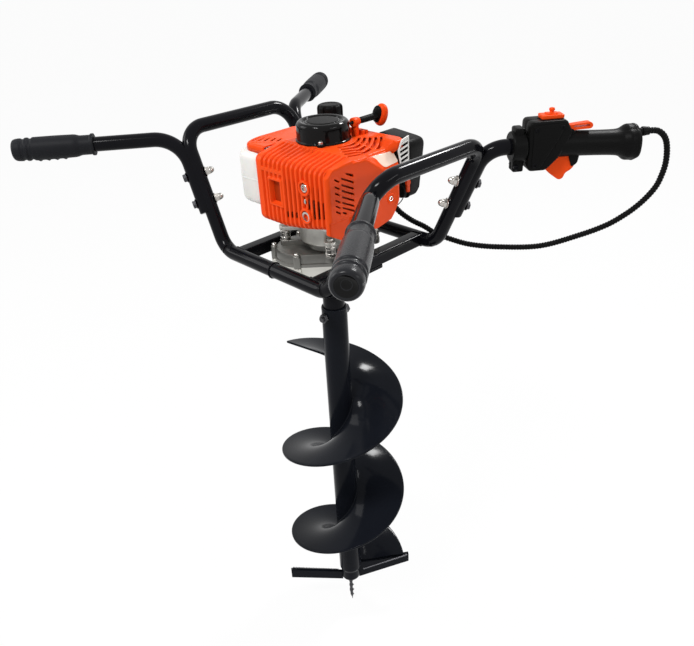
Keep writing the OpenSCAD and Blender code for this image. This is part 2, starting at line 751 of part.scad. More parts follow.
module case_screws() {
    head_h = 4;
    color(dark_steel) {
        for (p = boss_places()) translate([p[0], p[1], cover_top_z]) {
            cylinder(d = 8, h = head_h);
            translate([0, 0, -30]) cylinder(d = screw_d, h = 30);
        }
        for (p = pillar_places) translate([p[0], p[1], pillar_top_z + lug_t]) {
            hex_bar(10, 5);
            translate([0, 0, cover_top_z + 3 - pillar_top_z - lug_t])
                cylinder(d = pillar_bolt_d, h = pillar_top_z + lug_t - cover_top_z - 3);
        }
        for (a = recoil_lugs) rotate(a) translate([recoil_lug_r, 0, shroud_top_z + recoil_lug_h]) {
            cylinder(d = 8, h = 3);
            translate([0, 0, -recoil_lug_h - 8]) cylinder(d = screw_d, h = recoil_lug_h + 8);
        }
        for (p = concat(right_ear_bolts, left_ear_bolts)) translate([p[0], p[1], plate_top_z]) {
            hex_bar(10, 4);
            translate([0, 0, -plate_t - ear_t]) cylinder(d = ear_bolt_d, h = plate_t + ear_t);
            translate([0, 0, -plate_t - ear_t - 4]) hex_bar(10, 4);
        }
    }
}

// Bearings as rings: bore, outside diameter and width
module bearing(b) ring(b[1], b[0] + 2 * run_clear, b[2]);

crank_bearing = [crank_d, 35, 11];
lower_crank_bearing_z = crank_z - 31;
upper_crank_bearing_z = crank_z + 20;
module shaft_bearings() {
    color(steel) {
        for (z = output_bearing_z) translate([0, 0, z]) bearing(output_bearing);
        translate([0, 0, seat_z - input_bearing[2]]) bearing(input_bearing);
        translate([counter_at[0], counter_at[1], cavity_floor_z - counter_bearing[2]])
            bearing(counter_bearing);
        translate([counter_at[0], counter_at[1], cavity_top_z]) bearing(counter_bearing);
        for (z = [lower_crank_bearing_z, upper_crank_bearing_z]) translate([0, 0, z]) bearing(crank_bearing);
    }
}

plug_len = 72;
plug_d = drill_tube_d - 2 * drill_tube_wall - 2 * fit_gap;
coupling_z = drill_len - 25;
collar_gap = 3;
module output_shaft() {
    color(steel) difference() {
        union() {
            translate([0, 0, neck_bottom_z - collar_gap]) mirror([0, 0, 1])
                cylinder(d = plug_d, h = neck_bottom_z - collar_gap - drill_len + plug_len);
            translate([0, 0, neck_bottom_z - collar_gap - cut])
                cylinder(d = output_d, h = low_gear_z + low_gear_t - neck_bottom_z + collar_gap + cut);
        }
        translate([0, 0, coupling_z]) rotate([90, 0, 0])
            cylinder(d = coupling_bolt_d + 2 * fit_gap, h = 2 * drill_tube_d, center = true);
    }
}

// The wheels turn half a tooth against the pinions so that tooth meets gap
module output_gear() {
    color(dark_steel) translate([0, 0, low_gear_z]) difference() {
        rotate(counter_angle + 180 / wheel_teeth) gear(wheel_teeth, low_gear_t);
        translate([0, 0, -cut]) cylinder(d = output_d + 2 * fit_gap, h = low_gear_t + 2 * cut);
    }
}

module counter_shaft() {
    lean = counter_angle + 180;
    color(dark_steel) translate([counter_at[0], counter_at[1], 0]) {
        translate([0, 0, cavity_floor_z - counter_bearing[2] + 1])
            cylinder(d = counter_d, h = cavity_top_z - cavity_floor_z + 2 * counter_bearing[2] - 2);
        translate([0, 0, low_gear_z]) rotate(lean) gear(pinion_teeth, high_gear_z - low_gear_z + 1);
        translate([0, 0, high_gear_z]) rotate(lean + 180 / wheel_teeth) gear(wheel_teeth, high_gear_t);
    }
}

drum_floor_z = frame_z + 32;
pinion_top_z = high_gear_z + high_gear_t + 1;
drum_top_z = frame_z + 58;
drum_d = 78;
drum_wall = 3;
module clutch_drum() {
    color(dark_steel) {
        difference() {
            translate([0, 0, drum_floor_z]) cylinder(d = drum_d, h = drum_top_z - drum_floor_z);
            translate([0, 0, drum_floor_z + 4]) cylinder(d = drum_d - 2 * drum_wall, h = 60);
        }
        translate([0, 0, pinion_top_z]) cylinder(d = crank_d, h = drum_floor_z - pinion_top_z + cut);
        translate([0, 0, high_gear_z - 1]) rotate(counter_angle)
            gear(pinion_teeth, pinion_top_z - high_gear_z + 1);
    }
}

lug_t = 8;
module clutch_housing() {
    color(cast_metal) difference() {
        union() {
            translate([0, 0, seat_z]) cylinder(d = clutch_case_d, h = clutch_top_z - seat_z);
            arms(pillar_top_z, lug_t);
        }
        translate([0, 0, seat_z - cut])
            cylinder(d = clutch_case_d - 2 * clutch_case_wall, h = clutch_top_z - seat_z - 5 + cut);
        translate([0, 0, seat_z]) cylinder(d = crank_d + 12, h = 80);
        pillar_holes(pillar_top_z - cut, lug_t + 2 * cut);
    }
}

module pillars() {
    color(steel) for (p = pillar_places) translate([p[0], p[1], arm_z])
        ring(pillar_d, pillar_bolt_d + 2 * fit_gap, pillar_h);
}

// Engine: the crankshaft stands on the drill's axis, the cylinder lies along +X
crank_r = stroke / 2;
case_d = 92;
chamber_d = 71;
web_d = 63;
web_t = 10;
web_gap = 10.8;
deck_x = 48;
crown_h = 16;
crown_rest_x = rod_len - crank_r + crown_h;
head_x = rod_len + crank_r + crown_h + 6;
cylinder_wall = 5;
fin_d = bore_d + 32;
fin_t = 2.5;
fin_step = 7;
port_x = 72;
port_y = 44;
port_boss = 13;
port_d = 16;

module crankcase(up) {
    h = up ? case_top_z - crank_z : crank_z - clutch_top_z;
    z = up ? crank_z : clutch_top_z;
    color(cast_metal) difference() {
        union() {
            translate([0, 0, z]) cylinder(d = case_d, h = h);
            box([0, -32, up ? z : z + h - 32], [deck_x, 32, up ? z + 32 : z + h]);
        }
        translate([0, 0, crank_z]) cylinder(d = chamber_d, h = 34.8, center = true);
        translate([0, 0, clutch_top_z - cut]) cylinder(d = crank_d + 3, h = 200);
        translate([0, 0, lower_crank_bearing_z])
            cylinder(d = crank_bearing[1] + 2 * fit_gap, h = crank_bearing[2] + 5);
        translate([0, 0, upper_crank_bearing_z - 5])
            cylinder(d = crank_bearing[1] + 2 * fit_gap, h = crank_bearing[2] + 5);
        translate([0, 0, crank_z]) rotate([0, 90, 0]) cylinder(d = bore_d + 4, h = 100);
    }
}

module crankcase_lower() crankcase(false);
module crankcase_upper() crankcase(true);

crank_low_z = drum_floor_z + 8;
crank_high_z = frame_z + 176;
module crankshaft() {
    color(steel) {
        for (s = [-1, 1]) translate([0, 0, crank_z + s * (web_gap + web_t) / 2])
            cylinder(d = web_d, h = web_t, center = true);
        translate([0, 0, crank_low_z]) cylinder(d = crank_d, h = crank_z - web_gap / 2 - crank_low_z);
        translate([0, 0, crank_z + web_gap / 2])
            cylinder(d = crank_d, h = crank_high_z - crank_z - web_gap / 2);
    }
}

flywheel_z = case_top_z + 3;
flywheel_d = 90;
fan_blades = 12;
module flywheel() {
    color(cast_metal) translate([0, 0, flywheel_z]) difference() {
        union() {
            cylinder(d = flywheel_d, h = 6);
            cylinder(d = 40, h = 16);
            for (i = [0 : fan_blades - 1]) rotate(i * 360 / fan_blades)
                translate([22, -1.2, 0]) cube([flywheel_d / 2 - 24, 2.4, 16]);
        }
        translate([0, 0, -cut]) cylinder(d = crank_d + 2 * fit_gap, h = 30);
    }
}

shoe_d = drum_d - 2 * drum_wall - 4;
module clutch_hub() {
    color(dark_steel) translate([0, 0, drum_floor_z + 6]) difference() {
        cylinder(d = shoe_d, h = 16);
        translate([0, 0, -cut]) cylinder(d = crank_d + 2 * fit_gap, h = 30);
        for (a = [0, 180]) rotate(a) {
            translate([0, 12, -cut]) cube([60, 3, 30]);
            translate([18, -40, -cut]) cube([3, 46, 30]);
        }
    }
}

module along_x(x) translate([x, 0, crank_z]) rotate([0, 90, 0]) children();

module cylinder_block() {
    barrel_d = bore_d + 2 * cylinder_wall;
    color(cast_metal) difference() {
        union() {
            along_x(deck_x) cylinder(d = barrel_d, h = head_x + 5 - deck_x);
            box([deck_x, -32, crank_z - 32], [deck_x + 6, 32, crank_z + 32]);
            for (x = [deck_x + 12 : fin_step : head_x + 2]) along_x(x) cylinder(d = fin_d, h = fin_t);
            for (side = [-1, 1]) box([port_x - 11, side > 0 ? 0 : -port_y, crank_z - port_boss],
                                     [port_x + 11, side > 0 ? port_y : 0, crank_z + port_boss]);
        }
        along_x(deck_x - cut) cylinder(d = bore_d, h = head_x - deck_x + cut);
        translate([port_x, 0, crank_z]) rotate([90, 0, 0]) cylinder(d = port_d, h = 100, center = true);
        translate([plug_x, 0, crank_z]) cylinder(d = plug_thread_d + 2 * fit_gap, h = 60);
        translate([plug_x, 0, crank_z + barrel_d / 2]) cylinder(d = 19, h = 60);
    }
}

piston_d = bore_d - 2 * run_clear;
pin_x = rod_len - crank_r;
pin_d = 10;
skirt_x = web_d / 2 + 1.5;
ring_grooves = [3, 7];
module piston() {
    color(cast_metal) difference() {
        union() {
            along_x(skirt_x) cylinder(d = piston_d - 0.4, h = crown_rest_x - skirt_x);
            for (g = ring_grooves) along_x(crown_rest_x - g - 1.2) cylinder(d = piston_d, h = 1.2);
        }
        along_x(skirt_x - cut) cylinder(d = piston_d - 8, h = crown_rest_x - skirt_x - 5 + cut);
        translate([pin_x, 0, crank_z]) cylinder(d = pin_d + 2 * fit_gap, h = 80, center = true);
    }
}

rod_t = 9.6;
big_end_d = 24;
small_end_d = 16;
module connecting_rod() {
    color(steel) translate([0, 0, crank_z]) {
        translate([-crank_r, 0, 0]) cylinder(d = big_end_d, h = rod_t, center = true);
        translate([pin_x, 0, 0]) cylinder(d = small_end_d, h = rod_t, center = true);
        translate([-crank_r, -4, -rod_t / 2]) cube([rod_len, 8, rod_t]);
        translate([pin_x, 0, 0]) cylinder(d = pin_d, h = piston_d - 4, center = true);
    }
}

plug_x = head_x - 3;
plug_thread_d = 8;
module spark_plug() {
    z = crank_z + bore_d / 2 + cylinder_wall;
    color(black) {
        translate([plug_x, 0, z - cylinder_wall]) cylinder(d = plug_thread_d, h = cylinder_wall);
        translate([plug_x, 0, z]) hex_bar(13, 7);
        translate([plug_x, 0, z + 7]) cylinder(d = 15, h = 24);
        translate([plug_x, 0, z + 26]) sphere(d = 15);
    }
}

// Covers: the guard stands in front of the muffler on -Y, the cylinder cover closes the +X end
guard_x = [-59, 104];
guard_y = [-100, -46];
guard_z = [72, 190];
guard_corner = 14;
guard_eave = 172;
guard_window = [[-24, 108], [1, 142]];
muffler_lo = [40, -91, 80];
muffler_hi = [98, -port_y, 130];
outlet_at = [60, 99];
outlet_d = 18;

module muffler() {
    lo = muffler_lo + [0, 0, frame_z];
    hi = muffler_hi + [0, 0, frame_z];
    y0 = guard_y[0] - 1.5;
    color(dark_steel) difference() {
        union() {
            translate([0, hi[1], 0]) rotate([90, 0, 0]) linear_extrude(hi[1] - lo[1])
                round_rect([lo[0], lo[2]], [hi[0], hi[2]], 8);
            translate([outlet_at[0], lo[1] + cut, frame_z + outlet_at[1]]) rotate([90, 0, 0])
                cylinder(d = outlet_d, h = lo[1] + cut - y0);
        }
        translate([outlet_at[0], lo[1] + 6, frame_z + outlet_at[1]]) rotate([90, 0, 0])
            cylinder(d = exhaust_bore, h = 40);
    }
}

// Guard seen from the side: an upright face, an eave and a roof that rises to the back
module guard_side(grow) {
    polygon([
        [guard_y[0] + grow, guard_z[0] - (grow > 0 ? cut : 0)], [guard_y[0] + grow, guard_eave - grow / 2],
        [guard_y[0] + 9 + grow, guard_eave + 9 - grow], [guard_y[1] + grow, guard_z[1] - grow],
        [guard_y[1] + (grow > 0 ? cut : 0), guard_z[1] - grow],
        [guard_y[1] + (grow > 0 ? cut : 0), guard_z[0] - (grow > 0 ? cut : 0)]
    ]);
}

module guard_solid(grow) {
    intersection() {
        translate([guard_x[0] + grow, 0, frame_z]) rotate([90, 0, 90])
            linear_extrude(guard_x[1] - guard_x[0] - 2 * grow) guard_side(grow);
        translate([0, 0, frame_z]) linear_extrude(400)
            round_rect([guard_x[0] + grow, guard_y[0] + grow], [guard_x[1] - grow, -guard_y[0]],
                guard_corner - grow);
    }
}

module rising_edge() {
    low = guard_z[0] - 1;
    far = guard_x[1] + 1;
    translate([0, guard_y[1] + 1, frame_z]) rotate([90, 0, 0]) linear_extrude(guard_y[1] - guard_y[0] + 2)
        polygon([[5, low], [far, low], [far, guard_z[0] + 19], [54, guard_z[0] + 8]]);
}

module muffler_guard() {
    step = (guard_x[1] - guard_x[0] - 2 * guard_corner) / guard_grooves;
    groove_w = step * 0.4;
    color(orange) difference() {
        guard_solid(0);
        guard_solid(cover_wall);
        for (i = [0 : guard_grooves - 1]) {
            x = guard_x[0] + guard_corner + (i + 0.5) * step - groove_w / 2;
            box([x, guard_y[0] - cut, frame_z + guard_z[0] + 24],
                [x + groove_w, guard_y[0] + 22, frame_z + guard_eave - 20]);
        }
        translate([outlet_at[0], guard_y[1] - 20, frame_z + outlet_at[1]]) rotate([90, 0, 0])
            cylinder(d = outlet_d + 4, h = 80);
        box([guard_window[0][0], guard_y[0] - cut, frame_z + guard_window[0][1]],
            [guard_window[1][0], guard_y[0] + 10, frame_z + guard_window[1][1]]);
        translate([0, 0, shroud_top_z - 20]) cylinder(d = recoil_d + 16, h = 60);
        rising_edge();
    }
}

shroud_outline = [[-138, -44], [-114, -76], [-63, -76], [-63, -45], [108, -45], [110, -10], [95, 8], [95, 53],
                  [106, 58], [106, 76], [98, 84], [-46, 84], [-70, 62], [-140, 58]];
louvre_x = [103, 106];
louvre_y = [63, 82];
louvre_z = [146, 178];
louvre_slots = 5;
recoil_hole_d = recoil_d - 9;
rope_x = 28;
rope_z = shroud_top_z + 16;
rope_d = 4;
guide_y = [46, 58];
// Slots in the shroud are arcs about the starter: first radius, width, step, number and pairs of
// start and sweep
slot_w = 4.5;
grille = [56, 9, 5, [[-21, 36], [19, 22]]];
wing = [84, 13, 4, [[199, 14]]];
module arc_slots(rows) {
    for (i = [0 : rows[2] - 1], a = rows[3])
        translate([0, 0, shroud_top_z - shroud_skirt]) rotate(a[0]) rotate_extrude(angle = a[1])
            translate([rows[0] + i * rows[1], 0]) square([slot_w, shroud_skirt + cut]);
}

module top_shroud() {
    color(orange) difference() {
        union() {
            difference() {
                translate([0, 0, shroud_top_z - shroud_skirt]) linear_extrude(shroud_skirt)
                    polygon(shroud_outline);
                translate([0, 0, shroud_top_z - shroud_skirt - cut]) linear_extrude(shroud_skirt + cut - 3)
                    offset(delta = -cover_wall) polygon(shroud_outline);
            }
            box([rope_x - 8, guide_y[0], shroud_top_z - 1], [rope_x + 8, guide_y[1], rope_z + 6]);
            box([louvre_x[0], louvre_y[0], frame_z + louvre_z[0]],
                [louvre_x[1], louvre_y[1], frame_z + louvre_z[1]]);
        }
        for (i = [0 : louvre_slots - 1]) {
            step = (louvre_z[1] - louvre_z[0] - 4) / louvre_slots;
            z = frame_z + louvre_z[0] + 3 + i * step;
            box([louvre_x[0] - cut, louvre_y[0] + 4, z], [louvre_x[1] + cut, louvre_y[1] - 4, z + step / 2]);
        }
        translate([0, 0, shroud_top_z - 40]) cylinder(d = recoil_hole_d, h = 60);
        translate([rope_x, guide_y[1] + cut, rope_z]) rotate([90, 0, 0])
            cylinder(d = rope_d + 3, h = guide_y[1] - guide_y[0] + 2 * cut);
        arc_slots(grille);
        arc_slots(wing);
        for (a = recoil_lugs) rotate(a) translate([recoil_lug_r, 0, shroud_top_z - 20])
            cylinder(d = screw_d + 2 * fit_gap, h = 40);
    }
}

// Cylinder cover seen from +X, with a lug under its front corner, and a slanting panel behind the ridge
cover_x = [84, 112];
cover_top = shroud_top_z - shroud_skirt - frame_z;
cover_outline = [[-100, 80], [-74, 66], [6, 62], [47, 72], [57, 84], [62, 100], [62, cover_top],
                 [guard_y[1] + 1, cover_top],
                 [guard_y[1] + 1, guard_z[1]], [-48, guard_z[1]], [-91, 181], [-100, 172]];
panel_y = 8;
panel_high = [95, cover_top];
panel_low = [cover_x[1], 157];
module slanting_panel(grow) {
    n = unit([panel_high[1] - panel_low[1], panel_low[0] - panel_high[0]]);
    u = unit(panel_low - panel_high);
    a = panel_high - n * grow - u * 40;
    b = panel_low - n * grow + u * 40;
    translate([0, 100, frame_z]) rotate([90, 0, 0]) linear_extrude(100 - panel_y + grow)
        polygon([a, b, b + n * 60, a + n * 60]);
}

module cover_block(grow) {
    back = grow > 0 ? cut : 0;
    difference() {
        translate([cover_x[0] - back, 0, frame_z]) rotate([90, 0, 90])
            linear_extrude(cover_x[1] - cover_x[0] - grow + back) offset(delta = -grow)
                polygon(cover_outline);
        slanting_panel(grow);
    }
}

module cylinder_cover() {
    slot_t = 3;
    slot_step = 8;
    slot_lean = 30;
    columns = [[-76, 108], [-51, 110]];
    color(orange) difference() {
        cover_block(0);
        cover_block(cover_wall);
        box([cover_x[0] - cut, guard_y[0] - cut, frame_z],
            [guard_x[1] + 0.3, guard_y[1] + 0.8, frame_z + 300]);
        box([cover_x[0] - cut, guard_y[1], frame_z], [cover_x[1] - cover_wall, 37, frame_z + 110]);
        for (c = columns, i = [0 : cover_slots - 1])
            translate([cover_x[1], c[0], frame_z + c[1] + i * slot_step])
                rotate([-slot_lean * i / cover_slots, 0, 0])
                cube([20, 16, slot_t], center = true);
    }
}

recoil_wall = 3;
recoil_lug_r = recoil_d / 2 + 5;
recoil_lugs = [-48, 190, 118];
recoil_lug_h = 5;
post_d = 11;
module recoil_housing() {
    color(black) difference() {
        union() {
            difference() {
                union() {
                    translate([0, 0, shroud_top_z]) cylinder(d = recoil_d, h = recoil_h - 3);
                    translate([0, 0, shroud_top_z + recoil_h - 3])
                        cylinder(d1 = recoil_d, d2 = recoil_d - 6, h = 3);
                    for (a = recoil_lugs) rotate(a) translate([recoil_lug_r, 0, shroud_top_z])
                        cylinder(d = 12, h = recoil_lug_h);
                }
                translate([0, 0, shroud_top_z - cut])
                    cylinder(d = recoil_d - 2 * recoil_wall, h = recoil_h - 4 + cut);
            }
            translate([0, 0, shroud_top_z + 4]) cylinder(d = post_d, h = recoil_h - 5);
        }
        translate([rope_x, 0, rope_z]) rotate([-90, 0, 0]) cylinder(d = rope_d + 3, h = 80);
        for (a = recoil_lugs) rotate(a) translate([recoil_lug_r, 0, shroud_top_z - cut])
            cylinder(d = screw_d + 2 * fit_gap, h = 40);
    }
}

pulley_r = 33;
pulley_t = 12;
module starter_pulley() {
    color(black) translate([0, 0, rope_z - pulley_t / 2]) difference() {
        rotate_extrude() polygon([
            [0, 0], [pulley_r, 0], [pulley_r, 3], [rope_x - rope_d / 2 - move_gap, 4],
            [rope_x - rope_d / 2 - move_gap, pulley_t - 4], [pulley_r, pulley_t - 3],
                [pulley_r, pulley_t], [0, pulley_t]
        ]);
        translate([0, 0, -cut]) cylinder(d = post_d + 2 * run_clear, h = pulley_t + 2 * cut);
    }
}

rope_y = [2, 88];
module starter_rope() {
    color(black) translate([rope_x, rope_y[0], rope_z]) rotate([-90, 0, 0])
        cylinder(d = rope_d, h = rope_y[1] - rope_y[0]);
}

pull_w = 36;
pull_lift = 8;
pull_d = 16;
module starter_handle() {
    color(orange) translate([rope_x, rope_y[1], rope_z]) {
        rotate([-90, 0, 0]) cylinder(d1 = 11, d2 = 14, h = 14);
        translate([0, 16, pull_lift]) {
            cylinder(d = pull_d, h = pull_w - pull_d, center = true);
            for (s = [-1, 1]) translate([0, 0, s * (pull_w - pull_d) / 2]) sphere(d = pull_d);
        }
    }
}

tank_lo = [-136, -84, 78];
tank_hi = [-66, 126, 172];
tank_corner = 20;
tank_wall = 2.5;
filler_at = [-95, 106];
filler_d = 32;
filler_top = 205;
module fuel_tank() {
    lo = tank_lo + [0, 0, frame_z];
    color(tank_white) difference() {
        union() {
            translate([0, 0, lo[2]]) linear_extrude(tank_hi[2] - tank_lo[2])
                round_rect([tank_lo[0], tank_lo[1]], [tank_hi[0], tank_hi[1]], tank_corner);
            translate([filler_at[0], filler_at[1], lo[2]])
                cylinder(d = filler_d, h = filler_top - tank_lo[2]);
        }
        translate([0, 0, lo[2] + tank_wall]) linear_extrude(tank_hi[2] - tank_lo[2] - 2 * tank_wall)
            round_rect([tank_lo[0] + tank_wall, tank_lo[1] + tank_wall],
                       [tank_hi[0] - tank_wall, tank_hi[1] - tank_wall], tank_corner - tank_wall);
        translate([filler_at[0], filler_at[1], lo[2] + 20]) cylinder(d = filler_d - 6, h = 200);
    }
}

cap_h = 20;
cap_lobes = 8;
module fuel_cap() {
    color(black) translate([filler_at[0], filler_at[1], frame_z + filler_top - cap_h + 4]) difference() {
        cylinder(d = fuel_cap_d, h = cap_h);
        translate([0, 0, -cut]) cylinder(d = filler_d + 2 * move_gap, h = cap_h - 4 + cut + run_clear);
        for (i = [0 : cap_lobes - 1]) rotate((i + 0.5) * 360 / cap_lobes)
            translate([fuel_cap_d / 2 + 3, 0, -cut]) cylinder(d = 10, h = cap_h + 2 * cut);
    }
}

carb_lo = [58, 56, 92];
carb_hi = [83, 85.5, 118];
module carburettor() {
    color(cast_metal) difference() {
        union() {
            box(carb_lo + [0, 0, frame_z], carb_hi + [0, 0, frame_z]);
            box([port_x - 11, port_y, crank_z - port_boss],
                [port_x + 11, carb_lo[1] + cut, crank_z + port_boss]);
        }
        translate([port_x, 0, crank_z]) rotate([-90, 0, 0]) cylinder(d = port_d, h = 120);
        translate([port_x, 70, frame_z + carb_lo[2] - cut]) cylinder(d = 5 + 2 * run_clear, h = 12);
        translate([carb_hi[0] - primer_seat - primer_travel, 70, crank_z]) rotate([0, 90, 0])
            cylinder(d = primer_d + 2 * run_clear, h = 20);
    }
}

lever_t = 4;
module throttle_lever() {
    z = frame_z + carb_lo[2] - move_gap - lever_t;
    color(steel) {
        translate([port_x, 70, z]) cylinder(d = 12, h = lever_t);
        translate([port_x - 18, 66, z]) cube([18, 8, lever_t]);
        translate([port_x, 70, z]) cylinder(d = 5, h = lever_t + 10);
    }
}

box_lo = [12, 86, 84];
box_hi = [98, 100, 182];
lid_hi_y = 148;
lid_lip = 2;
module air_box() {
    color(black) difference() {
        translate([0, box_hi[1], frame_z]) rotate([90, 0, 0]) linear_extrude(box_hi[1] - box_lo[1])
            round_rect([box_lo[0], box_lo[2]], [box_hi[0], box_hi[2]], 12);
        translate([port_x, 0, crank_z]) rotate([-90, 0, 0]) cylinder(d = port_d, h = 120);
        translate([choke_x, choke_y, frame_z + choke_h]) rotate([0, 90, 0])
            cylinder(d = 5 + 2 * run_clear, h = 30);
    }
}

module air_cover() {
    wall = 3;
    lo = [box_lo[0] - lid_lip, box_lo[2] - lid_lip];
    hi = [box_hi[0] + lid_lip, box_hi[2] + lid_lip];
    color(black) difference() {
        translate([0, lid_hi_y, frame_z]) rotate([90, 0, 0]) linear_extrude(lid_hi_y - box_hi[1])
            round_rect(lo, hi, 14);
        translate([0, lid_hi_y - wall, frame_z]) rotate([90, 0, 0]) linear_extrude(60)
            round_rect(lo + [wall, wall], hi - [wall, wall], 14 - wall);
        translate([0, lid_hi_y, frame_z + hi[1]]) rotate([45, 0, 0]) cube([400, 20, 20], center = true);
        translate([hi[0], lid_hi_y, frame_z]) rotate([0, 0, 45]) cube([20, 20, 600], center = true);
    }
}

choke_x = 84;
choke_y = 93;
choke_h = 112;
module choke_lever() {
    color(orange) translate([box_hi[0] + move_gap, choke_y, frame_z + choke_h]) rotate([0, 90, 0]) {
        cylinder(d = 10, h = 4);
        translate([0, -3, 0]) cube([16, 6, 4]);
        translate([0, 0, -8]) cylinder(d = 5, h = 9);
    }
}

primer_d = 11;
primer_seat = 2;
primer_travel = 3;
module primer_bulb() {
    color(rubber) translate([carb_hi[0] - primer_seat, 70, crank_z]) rotate([0, 90, 0]) {
        cylinder(d = primer_d, h = 6);
        translate([0, 0, 6]) intersection() {
            sphere(d = primer_d);
            cylinder(d = 20, h = 20);
        }
    }
}

// Drill
tube_bottom_z = pilot_len;
flight_right = 46.5;
flight_steps = 48;
flight_r = flight_d / 2;
hub_r = drill_tube_d / 2;
flight_rows = ceil(flight_turns * flight_steps);
function flight_angle(i) = flight_right + 360 * flight_turns * i / flight_rows;
function flight_height(i) = flight_z + flight_pitch * flight_turns * i / flight_rows;

module drill_tube() {
    color(black) difference() {
        translate([0, 0, tube_bottom_z]) cylinder(r = hub_r, h = drill_len - tube_bottom_z);
        translate([0, 0, tube_bottom_z - cut]) cylinder(r = hub_r - drill_tube_wall, h = drill_len);
        translate([0, 0, coupling_z]) rotate([90, 0, 0])
            cylinder(d = coupling_bolt_d + 2 * fit_gap, h = 3 * hub_r, center = true);
    }
}

// Flight: a plate that winds up the tube, its inner edge just clear of the tube's face
module drill_flight() {
    inner_r = (hub_r + fit_gap) / cos(180 / flight_steps);
    points = [for (i = [0 : flight_rows], r = [inner_r, flight_r], dz = [0, flight_t])
        [r * cos(flight_angle(i)), r * sin(flight_angle(i)), flight_height(i) + dz]];
    sides = [[0, 1], [1, 3], [3, 2], [2, 0]];
    skin = [for (i = [0 : flight_rows - 1], s = sides, half = [0, 1])
        let (a = 4 * i + s[0], b = 4 * i + s[1])
        half == 0 ? [a, b, b + 4] : [a, b + 4, a + 4]];
    e = 4 * flight_rows;
    color(black) polyhedron(points, concat(skin,
        [[0, 2, 3], [0, 3, 1], [e, e + 1, e + 3], [e, e + 3, e + 2]]));
}

// Blades: one under the flight's lower edge, one on an arm opposite it
blade_drop = 30;
module cutter_blade() {
    translate([hub_r - 1, 0, 0]) rotate([90, 0, 90]) linear_extrude(flight_r + blade_proud - hub_r + 1)
        polygon([[-4, 0], [blade_t - 4, 0], [blade_w * 0.35, -blade_w * 0.7],
            [blade_w * 0.25, -blade_w * 0.72]]);
}

module cutter_blades() {
    color(dark_steel) difference() {
        for (a = [0, 180]) rotate(flight_right + a) {
            translate([0, 0, flight_z - fit_gap]) cutter_blade();
            if (a == 180) translate([hub_r - 1, -4, flight_z - 4])
                cube([flight_r - hub_r - 10, blade_t, 4 - fit_gap]);
        }
        cylinder(r = hub_r + fit_gap, h = drill_len);
    }
}

pilot_d = 12;
pilot_flute = 1.5;
module pilot_point() {
    color(dark_steel) difference() {
        union() {
            cylinder(d1 = 1, d2 = pilot_d, h = pilot_len * 0.45);
            translate([0, 0, pilot_len * 0.45]) cylinder(d = pilot_d, h = pilot_len * 0.55);
            translate([0, 0, pilot_len]) cylinder(r = hub_r - drill_tube_wall - fit_gap, h = 12);
        }
        for (a = [0, 180]) rotate(a + 30) translate([pilot_flute, pilot_flute, -cut])
            cube([pilot_d, pilot_d, pilot_len * 0.7]);
    }
}

module coupling_bolt() {
    flats = coupling_bolt_d + 6;
    color(steel) translate([0, 0, coupling_z]) rotate([90, 0, 0]) {
        cylinder(d = coupling_bolt_d, h = drill_tube_d + 20, center = true);
        translate([0, 0, hub_r]) hex_bar(flats, 6);
        translate([0, 0, -hub_r - 8]) hex_bar(flats, 8);
    }
}

frame_half_left();
frame_half_right();
cross_bars();
handle_tube_left();
handle_tube_back();
handle_tube_front();
handle_tube_throttle();
left_grip();
back_grip();
front_grip();
handle_fasteners();
throttle_clamp();
throttle_housing();
throttle_cover();
throttle_screws();
throttle_trigger();
lock_lever();
kill_switch();
cable_boots();
throttle_cable();
gearbox_lower();
gearbox_upper();
case_screws();
shaft_bearings();
output_shaft();
output_gear();
counter_shaft();
clutch_drum();
clutch_housing();
pillars();
crankcase_lower();
crankcase_upper();
crankshaft();
flywheel();
clutch_hub();
cylinder_block();
piston();
connecting_rod();
spark_plug();
muffler();
muffler_guard();
top_shroud();
cylinder_cover();
recoil_housing();
starter_pulley();
starter_rope();
starter_handle();
fuel_tank();
fuel_cap();
carburettor();
throttle_lever();
air_box();
air_cover();
choke_lever();
primer_bulb();
drill_tube();
drill_flight();
cutter_blades();
pilot_point();
coupling_bolt();
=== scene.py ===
import json
import math

